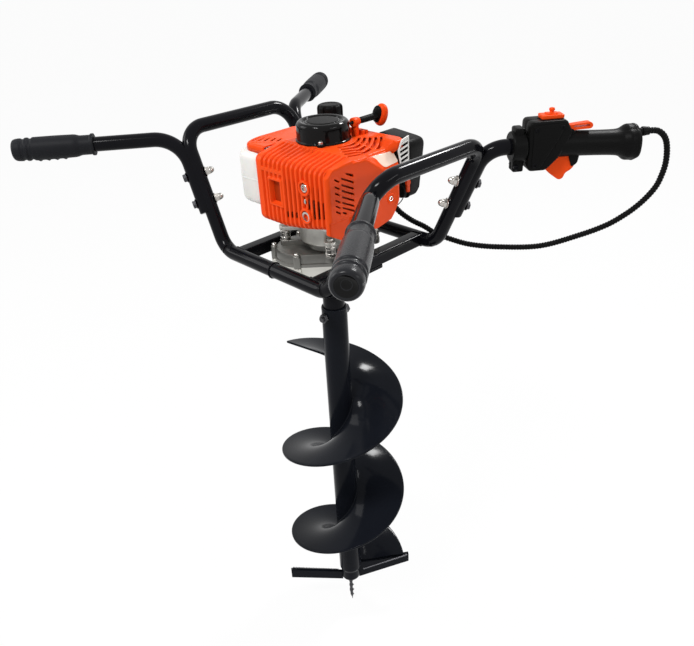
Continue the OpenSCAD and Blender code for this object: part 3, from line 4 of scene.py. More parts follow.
import bmesh
import bpy
import numpy as np
from bpy.props import FloatProperty, FloatVectorProperty, IntProperty, PointerProperty
from mathutils import Matrix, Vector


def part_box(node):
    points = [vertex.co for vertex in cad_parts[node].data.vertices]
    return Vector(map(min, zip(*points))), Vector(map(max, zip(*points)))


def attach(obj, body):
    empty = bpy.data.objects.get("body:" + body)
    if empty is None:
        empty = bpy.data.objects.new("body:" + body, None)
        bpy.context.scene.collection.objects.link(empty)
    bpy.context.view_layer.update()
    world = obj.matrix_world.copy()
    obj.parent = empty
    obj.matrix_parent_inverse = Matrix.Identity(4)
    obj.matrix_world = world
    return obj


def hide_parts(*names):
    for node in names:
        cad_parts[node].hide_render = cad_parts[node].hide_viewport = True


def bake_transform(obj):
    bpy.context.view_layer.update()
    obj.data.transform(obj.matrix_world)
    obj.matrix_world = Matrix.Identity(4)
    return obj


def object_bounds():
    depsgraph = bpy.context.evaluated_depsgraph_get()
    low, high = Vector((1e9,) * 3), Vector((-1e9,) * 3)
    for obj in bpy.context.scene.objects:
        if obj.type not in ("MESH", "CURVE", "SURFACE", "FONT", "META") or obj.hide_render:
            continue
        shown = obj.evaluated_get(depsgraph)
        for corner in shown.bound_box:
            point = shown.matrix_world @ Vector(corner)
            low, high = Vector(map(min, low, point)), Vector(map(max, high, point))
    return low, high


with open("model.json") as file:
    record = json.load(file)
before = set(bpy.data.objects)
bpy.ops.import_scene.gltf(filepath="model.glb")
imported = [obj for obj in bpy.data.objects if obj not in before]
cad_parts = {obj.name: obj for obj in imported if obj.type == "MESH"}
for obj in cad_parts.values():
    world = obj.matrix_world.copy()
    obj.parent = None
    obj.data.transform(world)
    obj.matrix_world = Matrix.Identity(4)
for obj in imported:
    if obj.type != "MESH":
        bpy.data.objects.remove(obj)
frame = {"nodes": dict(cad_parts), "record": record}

bl_info = {
    "name": "Earth auger",
    "version": (1, 0, 0),
    "blender": (4, 5, 0),
    "location": "3D View > Sidebar > Auger",
    "description": "Dresses the packed earth auger with its visible pieces, finishes and studio",
    "category": "Object",
}

MM = 0.001
CAD_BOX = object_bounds()
# Height of the base rails' middle line above the ground, in millimetres: the machine's pieces are written from there
BASE = round(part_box("frame_half_left")[0].z / MM + 12.5)
# Side in x, side in y, splay in degrees and name of each handle
SIDES = ((-1, -1, 52, "left"), (-1, 1, 55, "back"), (1, -1, 52, "front"), (1, 1, 52, "throttle"))
# Middle lines of the base rails and of the legs, the frame's bends and the cross bars' place
RAIL_Y, LEG_FOOT_X, LEG_TOP = 128.0, 133.0, (230.0, 118.0, 195.0)
FRAME_BEND, BAR_X = 42, 95.04
# Where a grip starts along its handle, and the shares of a leg at which it is bolted
GRIP_START, BOLT_PLACES = 145, (0.42, 0.64)
# Pillars under the engine, and the lugs round the starter's cap with their top
PILLARS = [np.array([sx * 57.0, sy * 52.0]) for sx in (-1, 1) for sy in (-1, 1)]
STARTER_LUGS = [47.5 * np.array([math.cos(t), math.sin(t)]) for t in np.radians((-48, 190, 118))]
LUG_TOP = 194.6
# Places that the starter's rope and the tank's filler are drawn from
ROPE = (28, 0, 212)
FILLER = (-95, 106, 0)
# Radius at which a turned profile meets its axis
AXIS = 0.1
ORIGIN, UPRIGHT = (0, 0, 0), np.eye(3)
# Columns for an outline drawn in x and z: carried along y, or out of the front
ALONG_Y = np.array([[1, 0, 0], [0, 0, 1], [0, 1, 0]]).T
OUT_FRONT = ALONG_Y * [1, 1, -1]
PAINT, ORANGE, BLACK, GLOSS = "Black powder paint", "Orange plastic", "Black plastic", "Gloss black plastic"
CAST, ZINC, SHADED, DRILL = "Cast aluminium", "Zinc plate", "Shaded orange", "Drill paint"


# Shapes: points in millimetres and the faces between them


def unit(v):
    """v divided by its length, row by row."""
    v = np.asarray(v, float)
    return v / np.linalg.norm(v, axis=-1, keepdims=True)


def axes(along, lean=(0, 0, 1)):
    """Columns x, y, z: z runs along a direction, y is square to it and to lean, and x is square to both."""
    z = unit(along)
    y = unit(np.cross(z, lean))
    return np.stack([np.cross(y, z), y, z], axis=1)


# Axes of what is turned about a line from front to back, such as the starter's rope
TO_BACK = axes((0, 1, 0), (1, 0, 0))


def smooth(v, low, high):
    """0 below low, 1 above high, and 3t^2 - 2t^3 between them."""
    t = np.clip((np.asarray(v, float) - low) / (high - low), 0, 1)
    return t * t * (3 - 2 * t)


def curve(a, c, b, t):
    """(1-t)^2 a + 2t(1-t) c + t^2 b: from a to b, drawn towards c."""
    return (1 - t) ** 2 * a + 2 * t * (1 - t) * c + t ** 2 * b


def compass(degrees):
    """The directions outwards from the axis at an angle, (cos t, sin t), and across it, (-sin t, cos t)."""
    c, s = math.cos(math.radians(degrees)), math.sin(math.radians(degrees))
    return np.array([c, s, 0]), np.array([-s, c, 0])


def laid(grid, at, cols):
    """A grid of points with its x, y and z along the columns of cols, from a place."""
    return np.asarray(at, float) + grid @ np.asarray(cols, float).T


def skin(grid, wrap=True, loop=False, caps=True):
    """Quads between neighbours on a grid of points; wrap closes the rows, loop the columns, caps the two ends."""
    n, m = grid.shape[:2]
    i, j = np.meshgrid(np.arange(n if loop else n - 1), np.arange(m if wrap else m - 1), indexing="ij")
    p, q = (i + 1) % n, (j + 1) % m
    faces = np.stack([i * m + j, i * m + q, p * m + q, p * m + j], axis=-1).reshape(-1, 4).tolist()
    if caps and wrap and not loop:
        faces += [list(range(m))[::-1], list(range((n - 1) * m, n * m))]
    return grid.reshape(-1, 3), faces


def sheet(grid, inside, keep=None):
    """An open skin over a grid, turned away from a point inside; quads where keep is false are left open."""
    n, m = grid.shape[:2]
    i, j = np.meshgrid(np.arange(n - 1), np.arange(m - 1), indexing="ij")
    quads = np.stack([i * m + j, i * m + j + 1, (i + 1) * m + j + 1, (i + 1) * m + j], axis=-1)
    quads = quads.reshape(-1, 4) if keep is None else quads[keep]
    used, quads = np.unique(quads, return_inverse=True)
    v, quads = grid.reshape(-1, 3)[used], quads.reshape(-1, 4)
    normal = np.cross(v[quads[:, 2]] - v[quads[:, 0]], v[quads[:, 3]] - v[quads[:, 1]])
    if (normal * (v[quads].mean(1) - inside)).sum() < 0:
        quads = quads[:, ::-1]
    return v, quads.tolist()


def join(shapes):
    """One shape of several: their points in a row and their faces renumbered."""
    starts = np.cumsum([0] + [len(v) for v, _ in shapes])
    faces = [[k + s for k in f] for (_, made), s in zip(shapes, starts) for f in made]
    return np.concatenate([v for v, _ in shapes]), faces


def bent(points, radius, step=3.0):
    """Straight runs joined by arcs: round a corner's centre, radius (cos a, sin a) from one run to the next."""
    p = [np.asarray(q, float) for q in points]
    runs = [p[0][None]]
    for a, c, b in zip(p[:-2], p[1:-1], p[2:]):
        u, v = unit(a - c), unit(b - c)
        half = np.arccos(u @ v) / 2
        centre = c + unit(u + v) * radius / np.sin(half)
        first = unit(c + u * radius / np.tan(half) - centre)
        turn = np.linspace(0, np.pi - 2 * half, max(4, int(radius * (np.pi - 2 * half) / step)))[:, None]
        runs.append(centre + radius * (np.cos(turn) * first - np.sin(turn) * u))
    return np.concatenate(runs + [p[-1][None]])


def sweep(path, radius, sides=24, ref=(0.6, -0.8, 0.05), loop=False):
    """A circle carried along a path: point + radius (cos a side + sin a up), side square to the path and to ref."""
    path = np.asarray(path, float)
    d = unit(np.roll(path, -1, 0) - np.roll(path, 1, 0) if loop else np.gradient(path, axis=0))
    side = unit(np.cross(ref, d))
    up = np.cross(d, side)
    a = np.linspace(0, 2 * np.pi, sides, endpoint=False)[None, :, None]
    r = np.broadcast_to(radius, len(path))[:, None, None]
    return skin(path[:, None] + r * (np.cos(a) * side[:, None] + np.sin(a) * up[:, None]), loop=loop)


def bead(line, radius, wobble, rate, ref, loop=False):
    """A weld bead along a line, of radius + wobble cos(rate k) at its k-th point."""
    return sweep(line, radius + wobble * np.cos(np.arange(len(line)) * rate), 8, ref, loop)


def lathe(profile, at=ORIGIN, basis=UPRIGHT, sides=48, wave=None, loop=False):
    """A profile of radius and height turned about an axis: r (cos a, sin a), h; wave adds to r by angle and height."""
    p = np.asarray(profile, float)
    a = np.linspace(0, 2 * np.pi, sides, endpoint=False)[None, :]
    h = np.repeat(p[:, 1:2], sides, axis=1)
    r = p[:, :1] + (0 if wave is None else wave(a, h))
    return skin(laid(np.stack([r * np.cos(a), r * np.sin(a), h], axis=-1), at, basis), loop=loop)


def ease(points, radius, steps=6, closed=True):
    """Corners softened: each becomes a curve towards itself, between the places a radius away on its two edges."""
    p = np.asarray(points, float)
    back, ahead = np.roll(p, 1, 0) - p, np.roll(p, -1, 0) - p
    lb, la = (np.linalg.norm(e, axis=1, keepdims=True) for e in (back, ahead))
    r = np.broadcast_to(np.asarray(radius, float), len(p))[:, None]
    a, b = p + back / lb * np.minimum(r, 0.48 * lb), p + ahead / la * np.minimum(r, 0.48 * la)
    soft = curve(a[:, None], p[:, None], b[:, None], np.linspace(0, 1, steps)[None, :, None])
    if closed:
        return soft.reshape(-1, p.shape[1])
    return np.concatenate([p[:1], soft[1:-1].reshape(-1, p.shape[1]), p[-1:]])


def turned(profile, soft, at=ORIGIN, basis=UPRIGHT, sides=48, wave=None, steps=6, dome=0):
    """A softened profile turned and carried to the axis at both ends, where dome raises the middle of the far one."""
    whole = [(AXIS, profile[0][1]), *profile, (AXIS, profile[-1][1] + dome)]
    soft = [AXIS, *soft, AXIS] if np.ndim(soft) else soft
    return lathe(ease(whole, soft, steps, closed=False), at, basis, sides, wave)


def hoop(profile, soft, at=ORIGIN, basis=UPRIGHT, sides=40):
    """A ring: a closed and softened profile of radius and height turned about an axis."""
    return lathe(ease(profile, soft), at, basis, sides, loop=True)


def inset(outline, d):
    """An outline moved inwards by d along the mean normal of its neighbouring edges, mitred."""
    ahead, back = unit(np.roll(outline, -1, 0) - outline), unit(outline - np.roll(outline, 1, 0))
    n = unit(np.stack([-(ahead + back)[:, 1], (ahead + back)[:, 0]], axis=1))
    mitre = 1 / np.maximum(0.5, n[:, 1] * ahead[:, 0] - n[:, 0] * ahead[:, 1])
    q = np.roll(outline, -1, 0)
    turn = np.sign((outline[:, 0] * q[:, 1] - outline[:, 1] * q[:, 0]).sum())
    return outline + n * (turn * d * mitre)[:, None]


def rim(low, high, r, k=5):
    """Insets and heights of a wall whose two edges are rounded: r (1 - sin a) and r (1 - cos a)."""
    a = np.linspace(0, np.pi / 2, k)
    low_edge = np.stack([r * (1 - np.sin(a)), low + r * (1 - np.cos(a))], axis=1)
    return np.concatenate([low_edge, np.stack([low_edge[::-1, 0], high + low - low_edge[::-1, 1]], axis=1)])


def loft(outline, steps, at=ORIGIN, cols=UPRIGHT):
    """An outline carried up through insets and heights, along the axes that are the columns of cols."""
    o = np.asarray(outline, float)
    rows = [np.column_stack([inset(o, d), np.full(len(o), h)]) for d, h in steps]
    return skin(laid(np.stack(rows), at, cols))


def circle(r, n):
    """n points at r (cos a, sin a)."""
    a = np.linspace(0, 2 * np.pi, n, endpoint=False)
    return np.stack([r * np.cos(a), r * np.sin(a)], axis=1)


def rect(x0, y0, x1, y1, r, steps=6):
    """A rectangle with softened corners."""
    return ease([(x0, y0), (x1, y0), (x1, y1), (x0, y1)], r, steps)


def lug(centre, root, half, r, turn, count):
    """Outline of a bar from near the axis, half wide to each side, to a round end r (cos a, sin a) about a centre."""
    d = unit(centre)
    n = np.array([-d[1], d[0]])
    a = np.linspace(-turn, turn, count)[:, None]
    end = centre + r * (np.cos(a) * d + np.sin(a) * n)
    return np.concatenate([[d * root - n * half], end, [d * root + n * half]])


def block(lo, hi, r, edge):
    """A box between two corners, its upright edges softened by r and its top and bottom edges by edge."""
    return loft(rect(lo[0], lo[1], hi[0], hi[1], r), rim(lo[2], hi[2], edge))


def ring_plate(outer, inner, low, high, at, cols):
    """A flat ring between an outer and an inner outline of as many points, from one height to another."""
    walls = ((outer, low), (outer, high), (inner, high), (inner, low))
    rows = [np.column_stack([o, np.full(len(o), h)]) for o, h in walls]
    return skin(laid(np.stack(rows), at, cols), loop=True)


def head_axes(along):
    """Axes of a screw head: along its screw, turned a little so that its flats aren't in line with the frame."""
    return axes(along, (0.3, 0.2, 0.9))


def hex_head(at, along, flats, h):
    """A hexagon of a width across flats carried along a direction, its far edge chamfered by a cone."""
    return loft(circle(flats / math.sqrt(3), 6), [(0, 0), (0, h - 0.8), (0.9, h)], at, head_axes(along))


def socket_head(at, along, d, h):
    """A round screw head with a socket half its height deep turned as a step down in its top."""
    r, floor = d / 2, h / 2
    p = [(0.01, floor), (0.54 * r, floor), (0.6 * r, h), (0.84 * r, h), (r, h - 0.2 * r), (r, 0), (0.01, 0)]
    return lathe(p, at, head_axes(along), 24)


def put(name, look, shapes, node=None, body="frame", rise=BASE, sharp=35, wall=0.0, ridden=True):
    """Make one piece of shapes in a finish, on a body, and for a CAD node if one is named; wall thickens sheets."""
    points, faces = join(shapes)
    mesh = bpy.data.meshes.new(name)
    mesh.from_pydata(((points + (0, 0, rise)) * MM).tolist(), [], faces)
    bm = bmesh.new()
    bm.from_mesh(mesh)
    bmesh.ops.remove_doubles(bm, verts=bm.verts, dist=2e-6)
    bmesh.ops.dissolve_degenerate(bm, dist=1e-6, edges=bm.edges)
    if not wall:
        bmesh.ops.recalc_face_normals(bm, faces=bm.faces)
    bm.to_mesh(mesh)
    bm.free()
    mesh.shade_smooth()
    mesh.set_sharp_from_angle(angle=math.radians(sharp))
    mesh.materials.append(finish(look))
    obj = bpy.data.objects.new(name, mesh)
    bpy.context.scene.collection.objects.link(obj)
    if wall:
        thick = obj.modifiers.new("Wall", "SOLIDIFY")
        thick.thickness, thick.offset = wall * MM, -1
    if ridden:
        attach(obj, body)
    if node:
        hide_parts(node)
    return obj


def place(obj, cols, at):
    """Link an object to the scene, turned to the columns of a matrix and moved to a place in metres."""
    bpy.context.scene.collection.objects.link(obj)
    m = np.eye(4)
    m[:3, :3], m[:3, 3] = cols, at
    obj.matrix_world = Matrix(m.tolist())


# Finishes


class Flow:
    """A value in a material's node tree. + - * on it add Math nodes."""

    def __init__(self, tree, socket=None):
        self.tree, self.socket = tree, socket

    def add(self, kind, settings=None, sockets=None, out=0):
        """A node of a type, with its settings set first and then the values or links of its sockets."""
        node = self.tree.nodes.new(kind)
        for key, value in (settings or {}).items():
            setattr(node, key, value)
        for key, value in (sockets or {}).items():
            self.feed(node.inputs[key], value)
        return Flow(self.tree, node.outputs[out])

    def feed(self, socket, value):
        """Link a value to a socket, or set the socket to a plain number, colour or vector."""
        if isinstance(value, Flow):
            self.tree.links.new(value.socket, socket)
        else:
            socket.default_value = value

    def sum_of(self, operation, a, b):
        return self.add("ShaderNodeMath", {"operation": operation}, {0: a, 1: b})

    def __add__(self, other):
        return self.sum_of("ADD", self, other)

    def __sub__(self, other):
        return self.sum_of("SUBTRACT", self, other)

    def __rsub__(self, other):
        return self.sum_of("SUBTRACT", other, self)

    def __mul__(self, other):
        return self.sum_of("MULTIPLY", self, other)

    __radd__, __rmul__ = __add__, __mul__

    def step(self, low, high):
        """0 below low and 1 above high, smoothed."""
        return self.add("ShaderNodeMapRange", {"interpolation_type": "SMOOTHSTEP"},
                        {"Value": self, "From Min": low, "From Max": high})

    def noise(self, scale, detail=3.0, rough=0.55):
        """Noise on the piece's own coordinates, at so many features a metre."""
        where = self.add("ShaderNodeTexCoord", out="Object")
        sockets = {"Vector": where, "Scale": scale, "Detail": detail, "Roughness": rough}
        return self.add("ShaderNodeTexNoise", {}, sockets)

    def blend(self, factor, a, b):
        """Colour a at factor 0 and colour b at factor 1."""
        return self.add("ShaderNodeMix", {"data_type": "RGBA"}, {0: factor, 6: a, 7: b}, out=2)


def shade(colour, k):
    """A colour with its three parts times k, opaque."""
    return (*(min(1.0, c * k) for c in colour[:3]), 1.0)


def surface(name, colour, rough, vary=0.12, rough_vary=0.1, grain=600.0, bump=0.15, depth=0.0002, scuff=0.0,
            scuff_colour=(0.25, 0.25, 0.26), metal=0.0, coat=0.0, specular=0.5, glow=0.0):
    """A finish: broad noise shifts colour and roughness, fine grain makes the bump, and peaks of noise the scuffs."""
    mat = bpy.data.materials.new(name)
    mat.use_nodes = True
    flow = Flow(mat.node_tree)
    shader = mat.node_tree.nodes["Principled BSDF"].inputs
    broad = flow.noise(7.0, 4.0, 0.6)
    fine = flow.noise(grain, 2.0, 0.5)
    base = flow.blend(broad.step(0.3, 0.7), shade(colour, 1 - vary), shade(colour, 1 + vary))
    roughness = rough + (broad - 0.5) * (2 * rough_vary) + (fine - 0.5) * rough_vary
    if scuff:
        marks = flow.noise(38.0, 5.0, 0.7).step(0.66, 0.74) * flow.noise(11.0, 2.0).step(0.5, 0.62) * scuff
        base = flow.blend(marks, base, shade(scuff_colour, 1.0))
        roughness = roughness + marks * 0.25
    flow.feed(shader["Base Color"], base)
    flow.feed(shader["Roughness"], roughness)
    flow.feed(shader["Normal"], flow.add("ShaderNodeBump", {}, {"Strength": bump, "Distance": depth, "Height": fine}))
    for key, value in (("Metallic", metal), ("Coat Weight", coat), ("Coat Roughness", 0.08),
                       ("Specular IOR Level", specular), ("Subsurface Weight", glow), ("Subsurface Scale", 0.01)):
        shader[key].default_value = value
    return mat


# Slot, colour, what the colour is times, and settings of each finish; a slot's first finish is also its CAD nodes'
LOOKS = {
    PAINT: ("black_paint", "paint", 1, dict(
        rough=0.14, rough_vary=0.04, grain=420.0, bump=0.03, specular=0.08)),
    DRILL: ("black_paint", "drill", 1, dict(
        rough=0.13, rough_vary=0.05, grain=300.0, bump=0.04, scuff=0.04, specular=0.055)),
    "Grip rubber": ("grip_rubber", "rubber", 1, dict(
        rough=0.5, grain=900.0, bump=0.35, depth=0.0003, scuff=0.06, specular=0.07, scuff_colour=(0.09, 0.09, 0.095))),
    "Worn rubber": ("grip_rubber", "rubber", 1, dict(
        rough=0.26, grain=900.0, bump=0.3, depth=0.0003, scuff=0.1, specular=0.16, scuff_colour=(0.12, 0.12, 0.125))),
    ORANGE: ("orange_plastic", "orange", 1, dict(
        rough=0.3, vary=0.04, rough_vary=0.06, grain=1500.0, bump=0.05, specular=0.06)),
    # Orange darkened to 0.45: painted shade, for plates set in the guard's window and behind the cover's slots
    SHADED: ("orange_plastic", "orange", 0.45, dict(
        rough=0.4, vary=0.06, grain=1500.0, bump=0.06, specular=0.05)),
    "Bare plate": ("orange_plastic", "plate", 1, dict(rough=0.25, vary=0.08, grain=900.0, bump=0.04, coat=0.4)),
    BLACK: ("black_plastic", "plastic", 1, dict(
        rough=0.42, grain=1600.0, bump=0.3, scuff=0.03, specular=0.05, scuff_colour=(0.05, 0.05, 0.05))),
    GLOSS: ("black_plastic", "plastic", 1, dict(
        rough=0.1, rough_vary=0.04, grain=900.0, bump=0.03, specular=0.12)),
    "Starter rope": ("black_plastic", "plastic", 1, dict(
        rough=0.7, grain=1200.0, bump=0.5, depth=0.0005, specular=0.2)),
    "White plastic": ("white_plastic", "tank", 1, dict(rough=0.35, vary=0.04, grain=900.0, bump=0.06)),
    "Tank plastic": ("white_plastic", "tank", 1, dict(rough=0.4, vary=0.04, grain=500.0, bump=0.1, glow=0.06)),
    CAST: ("cast_aluminium", "aluminium", 1, dict(
        rough=0.4, vary=0.14, grain=700.0, bump=0.5, depth=0.0004, metal=0.85, scuff=0.3,
        scuff_colour=(0.2, 0.18, 0.16))),
    # Cast aluminium darkened to a third: painted shade for the gearbox's upper half, which lies under the engine
    "Oiled casting": ("cast_aluminium", "aluminium", 0.32, dict(
        rough=0.42, vary=0.2, grain=700.0, bump=0.5, depth=0.0004, metal=0.85, scuff=0.4,
        scuff_colour=(0.4, 0.38, 0.35))),
    ZINC: ("plated_steel", "zinc", 1, dict(rough=0.24, vary=0.08, grain=1200.0, bump=0.1, metal=1.0)),
    "Bright muffler": ("plated_steel", "zinc", 1, dict(
        rough=0.34, vary=0.1, grain=500.0, bump=0.2, metal=0.9, scuff=0.3, scuff_colour=(0.3, 0.2, 0.12))),
    "Dark steel": ("dark_steel", "dark_steel", 1, dict(rough=0.42, grain=800.0, bump=0.2, metal=0.8, scuff=0.2)),
    "Weld bead": ("dark_steel", "dark_steel", 3, dict(
        rough=0.45, vary=0.6, grain=160.0, bump=0.6, depth=0.0006, metal=0.7)),
}


def finish(name):
    """The material of a name, made on first use from the scene's colours."""
    made = bpy.data.materials.get(name)
    if made:
        return made
    _, key, times, settings = LOOKS[name]
    return surface(name, shade(getattr(bpy.context.scene.auger_colours, key), times), **settings)


def colour(name, r, g, b, words):
    """A colour that the user can change, in linear light."""
    return FloatVectorProperty(name=name, description=words, subtype="COLOR", size=3, min=0, max=1, default=(r, g, b))


def length(name, mm, words):
    """A length that the user can change, in metres."""
    return FloatProperty(name=name, description=words, default=mm * MM, min=0, unit="LENGTH")


class AugerColours(bpy.types.PropertyGroup):
    """Colours of the auger's finishes."""
    paint: colour("Frame paint", 0.0035, 0.0035, 0.005, "Powder paint on the tubes")
    drill: colour("Drill paint", 0.006, 0.007, 0.01, "Paint on the drill")
    rubber: colour("Grip rubber", 0.011, 0.0115, 0.0135, "Rubber of the grips")
    orange: colour("Orange plastic", 0.77, 0.067, 0.008, "Covers, trigger, switch and handle")
    plastic: colour("Black plastic", 0.004, 0.004, 0.004, "Throttle grip, starter and air filter")
    tank: colour("Tank plastic", 0.72, 0.71, 0.68, "Fuel tank and louvre")
    aluminium: colour("Cast aluminium", 0.55, 0.54, 0.5, "Gearbox and crankcase")
    zinc: colour("Zinc plate", 0.48, 0.46, 0.43, "Screws, nuts and pillars")
    dark_steel: colour("Dark steel", 0.06, 0.06, 0.065, "Shafts and gears")
    plate: colour("Bare plate", 0.82, 0.62, 0.5, "Plate on the slanting panel")


class AugerSizes(bpy.types.PropertyGroup):
    """Sizes of the pieces that stand for the CAD nodes."""
    tube: length("Tube", 25, "Diameter of the frame and handle tubes")
    grip: length("Grip", 39, "Diameter of the rubber grips")
    cable: length("Cable", 10, "Diameter of the ribbed cable")
    cable_groove: length("Cable groove", 0.8, "Depth between the cable's ribs")
    guard_pitch: length("Rib pitch", 10.8, "Step of the guard's ribs")
    guard_groove: length("Rib depth", 4.4, "Depth between the guard's ribs")
    cover_wall: length("Cover wall", 2.5, "Wall of the orange covers")
    flight: length("Flight", 250, "Diameter of the drill's flight")
    flight_pitch: length("Flight pitch", 232, "Rise of the flight in one turn")
    cable_ribs: IntProperty(name="Cable ribs", description="Ribs along the cable", default=130, min=10)


def mm(name):
    """A size from the scene, in millimetres."""
    return getattr(bpy.context.scene.auger_sizes, name) / MM


# Places on the frame


def leg_point(sx, sy, s):
    """A point on a leg's middle line, from the base corner at 0 to the top corner at 1."""
    return np.array([sx * LEG_FOOT_X, sy * RAIL_Y, 0]) * (1 - s) + np.array([sx, sy, 1]) * LEG_TOP * s


def handle_frame(sx, sy, splay):
    """A handle's direction, the direction from its leg to it, and its corner and foot beside the leg."""
    a = math.radians(splay)
    d = np.array([sx * math.cos(a), sy * math.sin(a), 0])
    leg = unit(leg_point(sx, sy, 1) - leg_point(sx, sy, 0))
    side = unit(d - leg * (d @ leg))
    return d, side, leg_point(sx, sy, 0.95) + 9 * side, leg_point(sx, sy, 0.33) + 9 * side


THROTTLE_DIR, _, THROTTLE_CORNER, _ = handle_frame(*SIDES[3][:3])
THROTTLE = axes(THROTTLE_DIR)
# Axes of a plate seen from the throttle's side: up, along the grip, and out
THROTTLE_PLATE = THROTTLE[:, [0, 2, 1]]


def on_throttle(up, side, along):
    """A point given up, to the side and along from the throttle handle's corner."""
    return THROTTLE_CORNER + THROTTLE @ np.array([up, side, along], float)


def beside_throttle(outline, low, high, soft):
    """An outline drawn up and along from the throttle handle's corner, carried outwards with rounded edges."""
    return loft(outline, rim(low, high, soft), THROTTLE_CORNER, THROTTLE_PLATE)


def cross_pin(up, along, r):
    """A pin across the throttle grip, as wide as the levers on it."""
    return turned([(r, -6), (r, 6)], 0.6, on_throttle(up, 0, along), axes(THROTTLE[:, 1]), 32)


def cable_route():
    """The cable's points: out of the grip's end, down in a loop, past the right corner and up to the carburettor."""
    points = [[400, 344, 190], [406, 351, 184], [410, 357, 174], [412, 361, 161], [413, 363, 147], [413, 363, 132],
              [411, 361, 116], [407, 358, 99], [399, 352, 82], [387, 344, 64], [372, 333, 47], [350, 317, 28],
              [316, 292, 9], [265, 254, -12], [209, 214, -16], [167, 185, -13], [138, 165, -4], [115, 149, 7],
              [99, 138, 19], [84, 123, 31], [73, 108, 46], [67, 98, 59]]
    start = on_throttle(8, 0, 262.1)
    return np.array([start, start + 6 * THROTTLE_DIR, *points, [64, 92, 66], [64, 92, 72]], float)


def through(points, u):
    """A smooth curve through points: on each span the cubic with the mean slopes of its neighbours (Catmull-Rom)."""
    n = len(points) - 1
    i = np.minimum(u.astype(int), n - 1)
    t = (u - i)[:, None]
    b, c = points[i], points[i + 1]
    a = np.where(i[:, None] > 0, points[np.maximum(i - 1, 0)], 2 * b - c)
    d = np.where(i[:, None] < n - 1, points[np.minimum(i + 2, n)], 2 * c - b)
    return 0.5 * (2 * b + (c - a) * t + (2 * a - 5 * b + 4 * c - d) * t ** 2 + (3 * b - a - 3 * c + d) * t ** 3)


def even(points, count):
    """count points at even steps along the smooth curve through points, and its length."""
    fine = through(points, np.linspace(0, len(points) - 1, 4000))
    walked = np.concatenate([[0], np.cumsum(np.linalg.norm(np.diff(fine, axis=0), axis=1))])
    at = np.linspace(0, walked[-1], count)
    return np.stack([np.interp(at, walked, fine[:, k]) for k in range(3)], axis=1), walked[-1]


# Operators, one for each group of pieces


class AUGER_OT_camera(bpy.types.Operator):
    """Place the camera at the photograph's viewing angle"""
    bl_idname = "auger.camera"
    bl_label = "Camera"

    # The camera's axes and its place in metres
    right = (0.70595691, 0.70683931, -0.0447553)
    up = (-0.32074541, 0.3754055, 0.86959364)
    back = (0.63146435, -0.59954058, 0.49173556)
    at = (0.8667775, -0.7836978, 1.412556)

    def execute(self, context):
        data = bpy.data.cameras.new("Camera")
        data.sensor_width, data.lens, data.clip_end, data.shift_x = 36, 37.232, 50, -0.004925
        cam = bpy.data.objects.new("Camera", data)
        place(cam, np.stack([self.right, self.up, self.back], axis=1), self.at)
        context.scene.camera = cam
        return {"FINISHED"}


class AUGER_OT_cable(bpy.types.Operator):
    """Lay the ribbed throttle cable and its two boots"""
    bl_idname = "auger.cable"
    bl_label = "Throttle cable"

    def execute(self, context):
        ribs = context.scene.auger_sizes.cable_ribs
        route = cable_route()
        path, total = even(route, ribs * 6 + 1)
        r = mm("cable") / 2 - mm("cable_groove") * (0.5 - 0.5 * np.cos(np.arange(len(path)) * np.pi / 3)) ** 2
        cable = put("ribbed_cable", BLACK, [sweep(path, r, 16)], "throttle_cable", sharp=60)
        mm("cable") * MM
        grip_end, carb_end = on_throttle(8, 0, 250.1), (64, 92, 84)
        cone = [(7.4, 0), (7.4, 3), (6.6, 8), (6.4, 12)]
        boots = [turned([(5.6, -12), (5.6, 0.5)], 0.5, grip_end, THROTTLE, 32),
                 turned(cone, 0.8, grip_end, THROTTLE, 32),
                 turned(cone, 0.8, carb_end, axes((0, 0, -1), (1, 0, 0)), 32)]
        put("cable_end_boots", BLACK, boots, "cable_boots")
        return {"FINISHED"}


class AUGER_OT_frame(bpy.types.Operator):
    """Bend the two frame loops and weld the cross bars between them"""
    bl_idname = "auger.frame"
    bl_label = "Frame"

    def execute(self, context):
        r = mm("tube") / 2
        for sx, side in ((-1, "left"), (1, "right")):
            corners = [(0, -RAIL_Y, 0), leg_point(sx, -1, 0), leg_point(sx, -1, 1), leg_point(sx, 1, 1),
                       leg_point(sx, 1, 0), (0, RAIL_Y, 0)]
            loop = sweep(bent(corners, FRAME_BEND), r, 40, (0.9, 0, 0.44 * sx))
            put(f"loop_{side}", PAINT, [loop], f"frame_half_{side}")
        bars, beads = [], []
        round_tube = np.insert(circle(r + 0.4, 72), 0, 0, axis=1)
        for y in (-RAIL_Y, RAIL_Y):
            beads.append(bead(round_tube + (0, y, 0), 1.5, 0.35, np.pi / 2, (1, 0, 0), loop=True))
        square = rect(-11.2, -11.2, 11.2, 11.2, 3, 14)
        meets = RAIL_Y + 0.6 - np.sqrt(r * r - np.minimum(square[:, 1] ** 2, 130))
        for sx in (-1, 1):
            bars.append(loft(rect(-11, -11, 11, 11, 3), [(0, -121), (0, 121)], (sx * BAR_X, 0, 0), ALONG_Y))
            for sy in (-1, 1):
                ring = np.stack([sx * BAR_X + square[:, 0], sy * meets, square[:, 1]], 1)
                beads.append(bead(ring, 1.7, 0.35, 1.7, (0, 1, 0.2), loop=True))
        for weld_x, x0, x1, y0, y1 in ((84, 56, 106, -22, 22), (-84, -106, -64, 8, 48)):
            bars.append(block((x0, y0, -17), (x1, y1, -11), 3, 1))
            line = np.linspace((weld_x, y0 + 1, -11.2), (weld_x, y1 - 1, -11.2), 30)
            beads.append(bead(line, 2, 0.3, 2.1, (1, 0, 0.3)))
        put("square_bars", PAINT, bars, "cross_bars")
        put("weld_beads", PAINT, beads, sharp=80)
        return {"FINISHED"}


